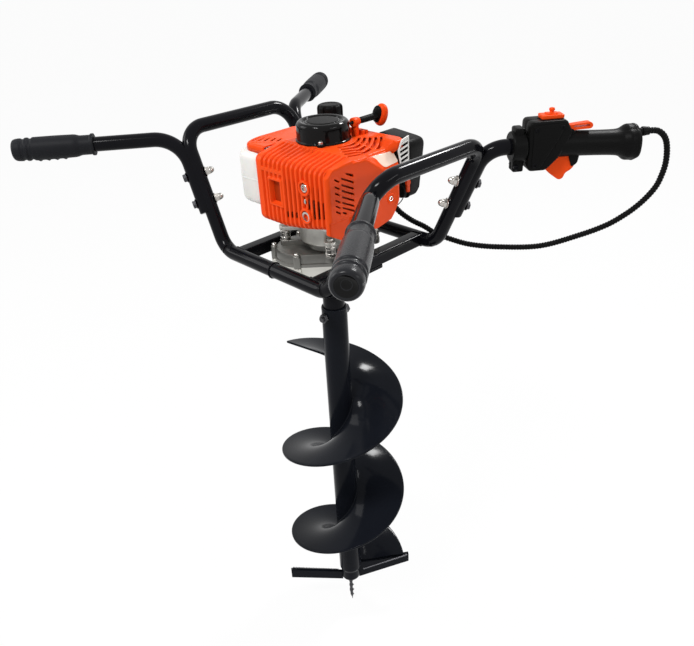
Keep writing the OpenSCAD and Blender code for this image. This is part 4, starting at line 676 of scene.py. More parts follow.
class AUGER_OT_handles(bpy.types.Operator):
    """Bend the four handles, and fit their grips, bolts, washers and nuts"""
    bl_idname = "auger.handles"
    bl_label = "Handles"

    def grip(self, start, d):
        """A rubber sleeve: lip, neck, thicker body with two grooves, hollow end, and nubs along its underside."""
        r, bore = mm("grip") / 2, 12.6
        p = ease([(bore, 0), (r - 1, 0), (r - 1, 4), (r - 3, 6), (r - 3, 24), (r - 0.6, 30), (r, 60), (r, 101),
                  (r - 2, 103), (r - 2, 107), (r, 109), (r, 113), (r - 2, 115), (r - 2, 119), (r - 0.3, 121),
                  (r - 1, 131), (r - 4, 135), (r - 7, 134), (6, 129.5), (AXIS, 129)],
                 [0.5, 0.8, 0.8, 1, 3, 4, 8, *[1.2] * 7, 2, 4, 2, 1.5, 3, 0.1], 5, closed=False)
        fill = np.arange(32, 100, 1.5)
        body = np.column_stack([np.interp(fill, p[:, 1], p[:, 0]), fill])
        p = np.concatenate([p[p[:, 1] < 31], body, p[p[:, 1] > 100]])

        def nubs(a, h):
            row = np.exp(-((h - 45) % 14 - 7) ** 2 / 5) * (h > 42) * (h < 98)
            ridges = 0.12 * np.cos(40 * a) * (h > 32) * (h < 100)
            return 2.4 * row * np.clip(np.cos(a - np.pi), 0, 1) ** 10 + ridges

        return lathe(p, start, axes(d), 80, nubs)

    def execute(self, context):
        r, mouth = mm("tube") / 2, mm("grip") / 2 - 7
        cup = [(AXIS, 129.2), (6, 129.8), (mouth, 134.2), (mouth, 132), (AXIS, 127)]
        outer_washer = [(AXIS, 0), (8, 0), (8.6, 0.6), (8.6, 1.2), (8, 1.6), (AXIS, 1.6)]
        inner_washer = [(AXIS, 0), (8.4, 0), (9, 0.5), (9, 1.2), (8.4, 1.6), (AXIS, 1.6)]
        dome = [(AXIS, 0), (6, 0), (6, 1.6), (5.4, 4), (4, 6), (2.2, 7.2), (AXIS, 7.6)]
        bolts, heads = [], []
        for sx, sy, splay, name in SIDES:
            d, side, corner, foot = handle_frame(sx, sy, splay)
            reach, bend = (100, 40) if name == "throttle" else (268, 60)
            path = bent([foot, corner, corner + d * reach], bend)
            path = np.concatenate([path[:1], path[:1] + unit(path[1] - path[0]) * 1.5, path[1:]])
            radius = np.concatenate([[r - 1.5], np.full(len(path) - 1, r)])
            tube = sweep(path, radius, 40, np.cross(d, (0, 0, 1)))
            put(f"bent_handle_{name}", PAINT, [tube], f"handle_tube_{name}")
            if name != "throttle":
                rubber = "Worn rubber" if name == "front" else "Grip rubber"
                start = corner + d * GRIP_START
                put(f"rubber_sleeve_{name}", rubber, [self.grip(start, d)], f"{name}_grip")
                put(f"sleeve_mouth_{name}", GLOSS, [lathe(cup, start, axes(d), 56)])
            b = axes(side)
            for s in BOLT_PLACES:
                p = leg_point(sx, sy, s)
                heads += [hex_head(p + side * 22.6, side, 13, 5.2), lathe(outer_washer, p + side * 21.2, b, 36)]
                bolts += [lathe(inner_washer, p - side * 12.4, -b, 36), hex_head(p - side * 14, -side, 13, 6.5),
                          lathe(dome, p - side * 20.3, -b, 32)]
        put("handle_bolts", ZINC, bolts, "handle_fasteners")
        put("handle_bolt_heads", "Dark steel", heads)
        return {"FINISHED"}


class AUGER_OT_throttle(bpy.types.Operator):
    """Mould the throttle grip with its clamp, trigger, lock lever and stop switch"""
    bl_idname = "auger.throttle"
    bl_label = "Throttle grip"

    def sleeve(self):
        """The round part of the grip, with a faceted flange, drooping towards its end by up to 7.5 mm."""
        tube = [(20.5, 104), (20.5, 112), (19.4, 150), (19.4, 185), (20, 208), (22, 216), (26.5, 224), (27.5, 236),
                (25.6, 241)]

        def facets(a, h):
            groove = 2.6 * np.exp(-((h - 231) / 2.5) ** 2)
            return smooth(h, 214, 223) * (1.6 * np.abs(np.cos(3 * a)) - groove) * (h < 240)

        soft = [1, 6, 12, 12, 12, 4, 3, 2, 2]
        points, faces = turned(tube, soft, THROTTLE_CORNER, THROTTLE, 96, facets, dome=1)
        along = (points - THROTTLE_CORNER) @ THROTTLE_DIR
        return points - (0, 0, 1) * (7.5 * np.clip((along - 104) / 136, 0, 1))[:, None], faces

    def execute(self, context):
        at, plate, out = THROTTLE_CORNER, THROTTLE_PLATE, THROTTLE[:, 1]
        side = ease([(-36, 66), (-30, 62), (36, 62), (40, 66), (40, 120), (20.5, 130), (-16.5, 112), (-36, 92)], 5)
        panel = ease([(-31, 68), (34, 68), (36, 117), (20, 112), (-14, 92), (-31, 82)], 3)
        catch = ease([(-38, 138), (-14, 130), (-14, 150), (-32, 147)], 4)
        cheeks = ease([(8, 120), (23, 120), (23, 134), (18, 138), (8, 138)], 3)
        back = [beside_throttle(side, -20, -0.1, 3.5), self.sleeve(), beside_throttle(catch, -9, 9, 2),
                beside_throttle(cheeks, -10.5, -6.5, 1), beside_throttle(cheeks, 6.5, 10.5, 1)]
        front = [beside_throttle(side, 0.1, 20, 3.5), beside_throttle(panel, 18, 21.6, 1.2),
                 ring_plate(side, inset(side, 1.5), -0.9, 0.9, at, plate)]
        put("grip_back_half", BLACK, back, "throttle_housing")
        put("grip_front_half", BLACK, front, "throttle_cover")
        lug = rect(-38, 42, -18, 59, 3)
        band = [(12.6, 39), (22, 39), (23.5, 41), (23.5, 59), (22, 61), (12.6, 61)]
        clamp = [hoop(band, 0.8, at, THROTTLE, 56), beside_throttle(lug, -10, -0.7, 1.5),
                 beside_throttle(lug, 0.7, 10, 1.5), beside_throttle(rect(14, 43, 30, 58, 4), -12, 12, 3)]
        put("handle_clamp", BLACK, clamp, "throttle_clamp")
        screws = [socket_head(on_throttle(u, 19.6, t), out, 7, 3) for u, t in ((28, 73), (-26, 73), (30, 112))]
        screws += [socket_head(on_throttle(-30, 10, 46.5), out, 8, 4),
                   hex_head(on_throttle(-30, -10, 46.5), -out, 7, 3)]
        put("grip_screws", PAINT, screws, "throttle_screws")
        pivot = (-25, 99)
        finger = np.array([(12, -2), (10, 32), (2, 42), (-12, 45), (-19, 38), (-22, 31), (-31, 28), (-33, 21),
                           (-22, 6), (-8, -8), (6, -11)])
        trigger = [beside_throttle(ease(finger + pivot, 4), -6, 6, 2), cross_pin(*pivot, 7)]
        put("pull_trigger", ORANGE, trigger, "throttle_trigger", "trigger")
        outer = ease(np.array([(-4, 0), (-3, 38), (0, 41), (5, 40), (7, 36), (4, -2)]) + (23.5, 126), 3)
        middle = np.array([25.0, 147.0])
        hole = middle + (outer - middle) * (0.34, 0.62) + (0.6, 3)
        lock = [ring_plate(outer, hole, -6, 6, at, plate), cross_pin(24, 127, 5)]
        put("lock_bar", ORANGE, lock, "lock_lever", "lock", sharp=50)
        up = THROTTLE[:, ::-1]
        knob = [(4, 47), (3, 50), (4.6, 52), (4, 55)]
        switch = [loft(rect(83, -11, 118, 11, 3), rim(40.3, 46.2, 1.2), at, up),
                  loft(ease([(91, -7), (111, -7), (109, 7), (93, 7)], 3), rim(45, 48, 1), at, up),
                  turned(knob, 0.8, on_throttle(0, 0, 101), up, 28, dome=0.6)]
        put("stop_switch", ORANGE, switch, "kill_switch", "switch")
        return {"FINISHED"}


class AUGER_OT_gearbox(bpy.types.Operator):
    """Cast the gearbox, the clutch housing, the pillars and their screws"""
    bl_idname = "auger.gearbox"
    bl_label = "Gearbox"

    # The counter shaft's place, the case's radius, the ring of its bosses and the angle they are counted from
    counter = np.array([-33.34, -34.53])
    case_radius, boss_ring, lean = 47.7, 50.2, 226

    def twin(self, r, n=40):
        """Outline of two discs and the band between them."""
        along = math.atan2(self.counter[1], self.counter[0])
        a = np.linspace(-np.pi / 2, np.pi / 2, n)
        far = self.counter + r * np.stack([np.cos(along + a), np.sin(along + a)], 1)
        near = r * np.stack([np.cos(along + np.pi + a), np.sin(along + np.pi + a)], 1)
        return np.concatenate([far, near])

    def bosses(self):
        """Places of the case's bosses round both discs: a centre + r (cos a, sin a)."""
        a = np.radians(self.lean + np.array([0, 80, -80, 112, 150, -150, -112]))
        centres = np.where(np.arange(7)[:, None] < 3, self.counter, 0)
        return centres + self.boss_ring * np.stack([np.cos(a), np.sin(a)], 1)

    def arms(self, low, high):
        """Four arms from the middle to the pillars, each a bar with a round end."""
        return [loft(lug(p, 20, 8, 10, 1.2, 16), rim(low, high, 1.2)) for p in PILLARS]

    def ribs(self):
        """Six three-cornered ribs that stand round the output boss."""
        made = []
        for out, across in map(compass, range(20, 380, 60)):
            cols = np.stack([-out, (0, 0, 1), across], axis=1)
            made.append(loft(ease([(0, -88), (0, -54), (-16, -54)], 1.5), rim(-2, 2, 0.8), 30 * out, cols))
        return made

    def execute(self, context):
        case = self.twin(self.case_radius)
        low = [loft(case, [(8, -56), (4, -55), (1.5, -52), (0.6, -46), (0, -22), (-2.2, -21), (-2.2, -16.2)])]
        high = [loft(case, [(-2.2, -15.8), (-2.2, -11), (0, -10), (0.4, 2), (1.6, 5.6), (4, 7)]),
                turned([(39, 4), (37, 13), (34, 20)], 1.5, sides=64)]
        for x, y in self.bosses():
            low.append(turned([(5, -44), (6.3, -40), (6.5, -16.2)], 1, (x, y, 0), sides=28))
            high.append(turned([(6.5, -15.8), (6.3, 5), (5.4, 7)], 1, (x, y, 0), sides=28))
        low += [block((30, -22, -27), (76, 22, -17.2), 6, 1.2), block((-82, 8, -27), (-20, 48, -17.2), 6, 1.2)]
        boss = turned([(28, -90), (31.5, -88), (32, -84), (33, -62), (38, -54)], [1, 2, 2, 6, 3], sides=64)
        put("output_boss", PAINT, [boss, *self.ribs()])
        put("case_lower", CAST, low, "gearbox_lower")
        # The upper half takes the darkened casting, which is painted shade from the engine above it
        put("case_upper", "Oiled casting", high + self.arms(6, 16.8), "gearbox_upper")

        def fins(a, h):
            return 0.9 * np.clip(np.cos(24 * a), 0, 1) ** 2 * smooth(h, 23, 27) * smooth(-h, -61, -57)

        bell = ease([(36, 20.4), (50, 20.4), (52, 23), (52, 62), (50.5, 64.8), (36, 64.8)], 1.2, closed=False)
        bell = [lathe(bell, sides=96, wave=fins), *self.arms(35.2, 43)]
        put("clutch_bell_housing", CAST, bell, "clutch_housing")
        post = [(8.4, 17), (9, 17.8), (9, 22), (8.5, 22.6), (8.5, 29.4), (9, 30), (9, 34.2), (8.4, 35)]
        posts = [turned(post, 0.5, (x, y, 0), sides=40) for x, y in PILLARS]
        put("standoff_pillars", ZINC, posts, "pillars")
        up, down = (0, 0, 1), (0, 0, -1)
        heads = [hex_head((x, y, 43), up, 10, 5) for x, y in PILLARS]
        heads += [socket_head((x, y, 7), up, 8, 4) for x, y in self.bosses()]
        for x, y in ((66, -12), (66, 12), (-74, 18), (-74, 38)):
            heads += [hex_head((x, y, -11), up, 10, 4), hex_head((x, y, -27), down, 10, 5)]
        heads += [socket_head((x, y, LUG_TOP), up, 8, 4) for x, y in STARTER_LUGS]
        put("case_bolts", ZINC, heads, "case_screws")
        return {"FINISHED"}


class AUGER_OT_guard(bpy.types.Operator):
    """Mould the ribbed muffler guard with its window, slots and bosses"""
    bl_idname = "auger.guard"
    bl_label = "Muffler guard"

    # The front's place, the corner's radius and the roof's depth; a groove's place; heights of the face's bend and of
    # the eave, and the roof's rise; the two bosses
    front, corner, back = -100, 13.6, 54
    first_groove, spring, eave, roof_rise = -40, 166.3, 181.0, 9
    boss_x, bosses = 60, (146, 101)

    def roof(self, depth):
        """Height of the roof at a depth behind the front: a straight rise from the eave to the back."""
        return self.eave + (depth - self.corner) * self.roof_rise / (self.back - self.corner)

    def section(self):
        """Depths and heights from the tuck at the bottom, up the face, round the eave and back along the roof."""
        b = np.radians(np.linspace(82, 0, 12))
        tuck = np.column_stack([12 - 12 * np.cos(b), 79 - 12 * np.sin(b)])
        face = np.column_stack([np.zeros(70), np.linspace(80, 165, 70)])
        eave = curve(np.array([0, self.spring]), np.array([0, 178.0]), np.array([self.corner, self.eave]),
                     np.linspace(0, 1, 14)[:, None])
        depth = np.linspace(self.corner, self.back, 28)[1:]
        upright = np.concatenate([tuck, face, eave])
        return np.concatenate([upright, np.column_stack([depth, self.roof(depth)])]), len(upright)

    def ribbed(self, line, x, pitch, inside):
        """The section carried along x, sunk between the ribs and in the window, its lower edge rising to the right."""
        d, z = line[:, :1], line[:, 1:]
        slope = unit(np.gradient(line, axis=0))
        inward, down = slope[:, 1:], -slope[:, :1]
        phase = (x - self.first_groove + pitch / 2) % pitch - pitch / 2
        groove = 1 - smooth(np.abs(phase), 1.6, 2.7)
        groove = groove * (x > -43) * (x < 102) * (1 - smooth(d, 50, 53))
        groove = groove * (1 - (x < 8) * smooth(z, 154, 155.5) * (1 - smooth(z, 161, 162.5)) * (d < 10))
        around = np.maximum(np.abs(x + 11) - 13, np.abs(z - 124.5) - 19.5)
        window = (d < 1) * (1 - smooth(around, -1.2, 0.2))
        border = (d < 1) * (1 - smooth(around, 3.2, 4.4))
        sink = mm("guard_groove") * groove * (1 - border) - 1.4 * border + 9.0 * window
        z = z + np.interp(x, [5, 30, 54, 78, 103], [0, 4, 8, 13, 19]) * np.clip((132 - z) / 65, 0, 1)
        grid = np.stack([np.broadcast_to(x, sink.shape), self.front + d + inward * sink, z + down * sink], axis=-1)
        mid_z, mid_d, mid_x = (z[:-1, :-1] + z[1:, 1:]) / 2, (d[:-1] + d[1:]) / 2, (x[:, :-1] + x[:, 1:]) / 2
        from_first = mid_x - self.first_groove
        aside = np.abs(from_first - pitch * np.round(from_first / pitch))
        above = mid_z - np.interp(mid_x, [5, 54, 103], [86, 93, 104])
        wide = (aside < pitch / 5) & ((above < 10) | (mid_x > 64) & (mid_z < 130))
        slots = ((aside < pitch / 10) | wide) & (mid_x > 8) & (mid_x < 100) & (above > 0) & (mid_z < 150) & (mid_d < 1)
        for h in self.bosses:
            slots = slots & (np.hypot(mid_x - self.boss_x, mid_z - h) >= 13)
        return sheet(grid, inside, ~slots)

    def end_wall(self, line, x, inside):
        """The section's upright part carried along the left wall and round the front corner, stretched to the roof."""
        d, z = line[:, :1], line[:, 1:]
        depth = np.linspace(self.corner, self.back, 28)[::-1]
        a = np.radians(np.linspace(0, 90, 13))[1:]
        turn = np.concatenate([np.zeros(len(depth)), a])
        plan_x = x - self.corner * np.cos(turn)
        plan_y = self.front + np.concatenate([depth, self.corner - self.corner * np.sin(a)])
        top = np.concatenate([self.roof(depth), np.full(len(a), self.eave)])
        stretch = (z - self.spring) * (top - self.spring) / (self.eave - self.spring) + self.spring
        rise = np.where(z > self.spring, stretch, z)
        return sheet(np.stack([plan_x + np.cos(turn) * d, plan_y + np.sin(turn) * d, rise], axis=-1), inside)

    def execute(self, context):
        pitch = mm("guard_pitch")
        line, upright = self.section()
        x = np.minimum(self.first_groove + pitch / 10 * (np.arange(145) - 10), 104)[None, :]
        inside = np.array([20.0, -46.0, 120.0])
        made = [self.ribbed(line, x, pitch, inside), self.end_wall(line[:upright], x[0, 0], inside)]
        put("ribbed_guard", ORANGE, made, "muffler_guard", wall=mm("cover_wall"), sharp=45)
        # Black sheets behind the guard's slots: painted shade seen through them
        shades = [block((8, -95.2, 83), (46, -94.2, 104), 1, 0.3), block((74, -95.2, 92), (100, -94.2, 132), 1, 0.3)]
        put("guard_shade", BLACK, shades)
        out, axis = (0, -1, 0), axes((0, -1, 0))
        ring = [(8.5, -4), (12, -4), (12.6, 2.2), (11.4, 3), (9.4, 3), (8.5, 2)]
        rings = [hoop(ring, 0.6, (self.boss_x, self.front, h), axis, 48) for h in self.bosses]
        put("guard_bosses", ORANGE, rings)
        # A plate in darkened orange at the window's back: painted shade for the deep window
        window = loft(rect(-24, 105, 2, 144, 2), [(0, -8.4), (0, -7.4)], (0, self.front, 0), OUT_FRONT)
        put("window_back", SHADED, [window])
        well = hoop([(1, -3), (11, -3), (11, -5), (1, -5)], 0.4, (self.boss_x, self.front, self.bosses[0]), axis)
        put("guard_screws", ZINC, [well, socket_head((self.boss_x, -97.4, self.bosses[0]), out, 15, 4),
                                   hex_head((self.boss_x, -97, 124), out, 8, 3)])
        return {"FINISHED"}


class AUGER_OT_covers(bpy.types.Operator):
    """Mould the cylinder cover with its slots, the slanting panel, the top shroud and the louvre"""
    bl_idname = "auger.covers"
    bl_label = "Covers"

    # A point under the shroud; radius of its first ring, step of the rings, rounding of the edge, depth of the skirt
    inside = np.array([0.0, 0.0, 60.0])
    inner, ring_step, edge, skirt = 38.0, 2.25, 5.0, 14.0

    def side_cover(self):
        """A plan line carried up its face and over its top; slots are cells of the grid, slanted with its rows."""
        a, side_x = np.radians(np.linspace(-90, 0, 7)), 112.0
        bend = 106 + 6 * np.cos(a), 6 * np.sin(a)
        y = np.arange(-93, 57.0)
        plan = np.concatenate([[[104, -100]], np.column_stack([bend[0], bend[1] - 94]),
                               np.column_stack([np.full(len(y), side_x), y]),
                               np.column_stack([bend[0], 56 - bend[1]])[::-1], [[90, 62]]])
        px, py = plan[None, :, 0], plan[None, :, 1]
        bottom = np.interp(py, [-100, -74, 6, 38, 47, 57, 62], [80, 65, 61, 67, 76, 92, 100])
        top = np.interp(py, [-100, -91, -86, -61, -46, -44, -16, 24, 62],
                        [168, 177, 181, 183.5, 184, 181.5, 181, 153, 153])
        nominal = np.arange(58, 188.0)[:, None]
        lean = np.interp(py, [-97, -85, -74.5, -71, -44.5, -32], [0, 3.1, -3.2, 6.6, -6.6, 0])
        z = nominal + smooth(nominal, 88, 102) * (1 - smooth(nominal, 165, 180)) * lean
        z = np.clip(z, bottom, top - 4)
        recess = 3.2 * (1 - smooth(z, 97, 100)) * (1 - smooth(py, -56, -48)) * (px > 111)
        face = np.stack([px - recess, py + 0 * z, z], axis=-1)
        inner = np.interp(py, [-100, -44, -16, 8, 62], [103, 103, 100, 94, 94])
        ridge = np.interp(py, [-100, -91, -86, -60, -46, -44, -16, 8, 62],
                          [170, 179, 181, 187, 189.5, 178, 178, 176.5, 176.5])
        t, share = np.linspace(0, 1, 7)[:, None], 0.16
        turn_x = curve(px, px, px + (inner - px) * share, t)
        turn_z = curve(top - 4, top, top + (ridge - top) * share, t)
        turned_over = np.stack([turn_x, py + 0 * t, turn_z], axis=-1)[1:]
        s = np.linspace(share, 1, 8)[1:, None]
        over = np.stack([px + (inner - px) * s, py + 0 * s, top + (ridge - top) * s], axis=-1)
        grid = np.concatenate([face, turned_over, over])
        row = np.arange(len(grid) - 1)[:, None]
        mid = (plan[:-1, 1] + plan[1:, 1])[None] / 2
        slot = np.zeros((len(grid) - 1, len(plan) - 1), bool)
        for start, end, levels in ((-85.5, -74.5, [162.5, 151.5, 141.5, 130.5, 121.5, 112.5]),
                                   (-71.5, -44.5, [157.5, 147.5, 138.5, 128.5, 119.5, 111.5]),
                                   (-61, -44.5, [167.5]), (-71.5, -62, [103.5])):
            near = np.abs(row + 58.5 - np.array(levels)).min(1, keepdims=True) < 1.6
            slot |= near & (mid > start) & (mid < end)
        slot = slot & (row < len(face) - 1) & (plan[:-1, 0] > 111)[None]
        return sheet(grid, np.array([90.0, -20.0, 120.0]), ~slot)

    def height(self, x, y):
        """Height of the shroud's top: level round the starter, lower on the wing, and falling to the right."""
        fall = smooth(x, 46, 104) * (7 + 6 * smooth(y, -12, 8)) * (1 - smooth(y, 50, 60))
        return 190 - fall - 6 * smooth(-x, 46, 60) - 3 * smooth(-x, 90, 140)

    def reach(self, outline, angles):
        """Distance from the axis to an outline along each angle: the farthest crossing of a ray with its edges."""
        p = np.asarray(outline, float)
        e = np.roll(p, -1, 0) - p
        dx, dy = np.cos(angles)[:, None], np.sin(angles)[:, None]
        den = dx * e[:, 1] - dy * e[:, 0]
        den = np.where(np.abs(den) < 1e-9, 1e-9, den)
        t = (p[:, 0] * e[:, 1] - p[:, 1] * e[:, 0]) / den
        s = (p[:, 0] * dy - p[:, 1] * dx) / den
        return np.where((s > -1e-6) & (s < 1 + 1e-6) & (t > 0), t, 0).max(1)

    def top(self, angles, rings, stop, reach, edge, skirt):
        """Rings about the starter at the top's height, then an edge of stop + (reach - stop) sin f, and a skirt."""
        a = angles[None, :]
        x, y = rings * np.cos(a), rings * np.sin(a)
        lip = self.height(stop * np.cos(a), stop * np.sin(a))
        f = np.radians(np.linspace(15, 90, 6))[:, None]
        out = np.concatenate([stop + (reach - stop) * np.sin(f), reach[None]])
        low = np.concatenate([lip - edge * (1 - np.cos(f)), lip - skirt])
        return np.concatenate([np.stack([x, y, self.height(x, y)], -1),
                               np.stack([out * np.cos(a), out * np.sin(a), low], -1)])

    def patch(self, angles, reach, edge=edge, skirt=skirt, slots=()):
        """Rings out to an outline, at even steps from the starter; slots are cells of some of the rings."""
        stop = reach[None] - edge
        rings = np.minimum(self.inner + self.ring_step * np.arange(52)[:, None], stop)
        grid = self.top(angles, rings, stop, reach, edge, skirt)
        k = np.arange(len(grid) - 1)[:, None]
        fits = self.inner + self.ring_step * (k + 1) < np.minimum(stop[:, :-1], stop[:, 1:]) - 1.5
        mid = np.degrees((angles[:-1] + angles[1:]) / 2)[None]
        cut = np.zeros((len(grid) - 1, len(angles) - 1), bool)
        for first, step, count, start, end in slots:
            rows = (k >= first) & ((k - first) % step < 2) & (k < first + step * count)
            cut |= rows & fits & (mid > start) & (mid < end)
        return sheet(grid, self.inside, ~cut)

    def shroud(self):
        """The shroud's wing, its round top, the wing's tip past the notch, and a lower copy of the top as liner."""
        top = ease([(111, -45), (111.5, -12), (95.5, 6), (95, 53), (106, 58), (106, 76), (98, 84), (-46, 84),
                    (-70, 62), (-66, 0), (-63, -45)], [4, 8, 5, 4, 4, 6, 6, 14, 3, 3, 0.5])
        wing = ease([(-70, 62), (-135, 58), (-133, -44), (-112, -76), (-63, -76), (-20, 0)], [3, 14, 20, 12, 0.5, 1])
        whole = 2 * math.pi
        start, notch, last = math.atan2(62, -70), math.atan2(-45, -63) + whole, math.atan2(-76, -63) + whole
        left, right = np.linspace(start, notch, 50), np.linspace(notch, start + whole, 150)
        tip = np.linspace(notch, last - 0.004, 12)
        near, far = 63 / np.abs(np.cos(tip)), self.reach(wing, tip)
        stop = np.maximum(far - self.edge, near)
        rings = near + (stop - near) * np.linspace(0, 1, 8)[:, None]
        made = [self.patch(left, self.reach(wing, left), slots=[(18, 5, 5, 199, 211)]),
                self.patch(right, self.reach(top, right), slots=[(8, 4, 5, 339, 378), (8, 4, 5, 381, 405)]),
                sheet(self.top(tip, rings, stop[None], far, self.edge, self.skirt), self.inside)]
        under, faces = self.patch(right, self.reach(top, right) - 4, 3.0, 7.0)
        return made, [(under - (0, 0, 5.5), faces)]

    def louvre(self):
        """A leaning grid of bars: the cells of the open rows are left out."""
        z = np.linspace(150, 191, 42)[:, None]
        first = np.interp(z, [150, 177, 191], [67, 61.5, 70])
        y = first + (87 - first) * np.linspace(0, 1, 27)[None, :]
        k, j = np.arange(41)[:, None], np.arange(26)[None, :]
        cells = ((k - 4) % 8 < 5) & (k >= 4) & (k < 37) & (j > 2) & (j < 24)
        grid = np.stack([np.full(y.shape, 108.6), y, z + 0.22 * (y - 75)], axis=-1)
        return sheet(grid, np.array([0.0, 0, 100]), ~cells)

    def execute(self, context):
        wall = mm("cover_wall")
        put("slotted_cover", ORANGE, [self.side_cover()], "cylinder_cover", wall=wall, sharp=45)
        shroud, liner = self.shroud()
        put("vented_shroud", ORANGE, shroud, "top_shroud", wall=wall, sharp=45)
        put("shroud_liner", ORANGE, liner, wall=1.0)
        # A block in darkened orange behind the cover's slots: painted shade seen through them
        put("slot_liner", SHADED, [block((102, -88, 98), (105, -42, 174), 1, 0.5)])
        guide = [(3, 40), (7.6, 40), (7.6, 46), (6.6, 52), (6.2, 54), (3, 54)]
        stubs = [hoop(guide, 0.8, ROPE, TO_BACK), block((22, 42, 186), (34, 50, 209), 3, 1.5),
                 block((2, 56, 186), (36, 61, 197), 2, 1.2), block((4, 66, 186), (34, 71, 195), 2, 1.2)]
        put("rope_guide_and_clips", ORANGE, stubs)
        cols = np.stack([(0, 1, 0), unit((18, 0, -24)), unit((24, 0, 18))], axis=1)
        plate = ease([(12, 3), (59, 4.5), (60, 24), (31, 26.5), (26, 24.5)], 3)
        put("bare_plate", "Bare plate", [loft(plate, rim(-0.4, 0.9, 0.4), (94, 0, 176.6), cols)])
        put("louvre", "White plastic", [self.louvre()], wall=2.2)
        put("louvre_back", BLACK, [block((101, 63, 150), (105, 86, 188), 2, 1)])
        ring = [(5, -2), (9, -2), (9, 0.6), (8, 1.6), (6.4, 1.6), (5, 0.4)]
        put("cover_boss", ORANGE, [hoop(ring, 0.4, (111.8, 38, 102), axes((1, 0, 0)))])
        put("cover_screw", ZINC, [socket_head((110.6, 38, 102), (1, 0, 0), 9, 2.6)])
        wire = [[106, 66, 118], [109, 73, 110], [110, 74, 101], [110, 66, 90], [108, 55, 84], [104, 50, 84]]
        put("thin_wire", BLACK, [sweep(even(np.array(wire, float), 60)[0], 0.8, 10)])
        return {"FINISHED"}


class AUGER_OT_starter(bpy.types.Operator):
    """Turn the starter's cap, lay its rope and mould its handle"""
    bl_idname = "auger.starter"
    bl_label = "Starter"

    def execute(self, context):
        p = ease([(AXIS, 220), (28, 220), (29, 218.6), (32, 218.6), (33.5, 220.8), (38, 221.8), (43, 218), (43.6, 208),
                  (44, 193), (45.6, 192), (45.6, 189.8), (38, 189.8)],
                 [0.1, 0.4, 0.4, 0.4, 0.8, 2, 5, 4, 1, 0.6, 0.3, 0.1], closed=False)
        cap = [lathe(p, sides=96, wave=lambda a, h: 0.25 * np.cos(60 * a) * (h > 194) * (h < 206))]
        cap += [loft(lug(p, 38, 9, 6.5, 1.5, 12), rim(190, LUG_TOP, 1)) for p in STARTER_LUGS]
        put("starter_cap", GLOSS, cap, "recoil_housing")
        disc = [(25, 220.9), (26, 220.3), (26, 219.8)]
        put("cap_disc", BLACK, [turned(disc, 0.3, sides=64)])
        y = np.linspace(30, 90, 160)
        strands = []
        for k in (0, 2.094, 4.189):
            twist = y * 1.4 + k
            strand = np.stack([ROPE[0] + 0.9 * np.cos(twist), y, ROPE[2] + 0.9 * np.sin(twist)], 1)
            strands.append(sweep(strand, 1.05, 8, (0, 0.1, 1)))
        rope = put("twisted_rope", "Starter rope", strands, "starter_rope", ridden=False)
        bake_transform(rope)
        sleeve = [(2.4, 56), (4.8, 56), (5.4, 62), (5.6, 88), (6.4, 96), (2.4, 96)]
        put("handle_sleeve", BLACK, [hoop(sleeve, 0.8, ROPE, TO_BACK, 36)], body="pull")
        t = np.linspace(0.02, np.pi - 0.02, 29)
        bulge = np.column_stack([np.sin(t) ** 0.75, -np.cos(t)])
        tilt = np.array([[0.94, 0, 0.34], [0, 1, 0], [-0.34, 0, 0.94]])
        handle = lathe(bulge, (30, 106, 212), tilt @ np.diag([13.0, 9.5, 19.0]), 56)
        put("pull_handle", ORANGE, [handle], "starter_handle", "pull")
        insert = lathe(bulge, (28, 99.5, 214), tilt @ np.diag([10.0, 6.0, 14.5]), 48)
        put("handle_insert", BLACK, [insert], body="pull")
        return {"FINISHED"}


class AUGER_OT_tank(bpy.types.Operator):
    """Blow the fuel tank with its seam and filler, and mould the cap"""
    bl_idname = "auger.tank"
    bl_label = "Fuel tank"

    def execute(self, context):
        plan = rect(-136, -84, -66, 126, 26, 12)
        seam = [(0.4, 123.6), (-0.7, 124.2), (-0.7, 125.8), (0.4, 126.4)]
        neck = [(19, 165), (17, 172), (16, 174), (16, 189)]
        tank = [loft(plan, rim(78, 172, 15, 9)), loft(plan, seam), turned(neck, 1.5, FILLER)]
        put("blown_tank", "Tank plastic", tank, "fuel_tank")

        def lobes(a, h):
            return 2.4 * (smooth(np.cos(8 * a), -0.75, -0.35) - 0.7) * (h > 190) * smooth(-h, -214.5, -211)

        cap = [(21, 189.4), (22.4, 191), (22.4, 209), (20.5, 213.6), (15, 214.8), (13, 213.8)]
        put("lobed_cap", BLACK, [turned(cap, [1, 1, 3, 3, 1, 1], FILLER, sides=128, wave=lobes)], "fuel_cap", "cap")
        return {"FINISHED"}


class AUGER_OT_air(bpy.types.Operator):
    """Mould the air filter's box and lid"""
    bl_idname = "auger.air"
    bl_label = "Air filter"

    def execute(self, context):
        flange = [(1, 96), (0, 97), (0, 99.4), (1, 99.8)]
        box = [loft(rect(28, 84, 98, 182, 10), rim(86, 99.8, 1.5), cols=ALONG_Y),
               loft(rect(25.5, 81.5, 100.5, 184.5, 12), flange, cols=ALONG_Y)]
        put("filter_box", BLACK, box, "air_box")
        crown = [(1, 100.2), (0, 101), (0, 132), (3, 138), (10, 145), (13, 147.4), (16, 148)]
        lid = [loft(rect(26, 82, 100, 184, 14), crown, cols=ALONG_Y)]
        for x in range(42, 92, 10):
            lid.append(loft(rect(x, 100, x + 4.5, 166, 2.2), rim(146.5, 149.4, 1), cols=ALONG_Y))
        v, faces = join(lid)
        x, y, z = v.T
        shallow = 100 + (y - 100) * (0.5 + 0.5 * smooth(z, 82, 114))
        v = np.column_stack([x, shallow, z - 0.09 * (x - 55) * smooth(z, 120, 180)])
        put("filter_lid", BLACK, [(v, faces)], "air_cover")
        knob = turned([(11, 146), (12, 148), (11, 151)], 1.5, (63, 0, 133), TO_BACK, dome=1,
                      wave=lambda a, h: 0.6 * np.cos(12 * a) * (h > 147) * (h < 151.5))
        put("lid_knob", BLACK, [knob])
        return {"FINISHED"}


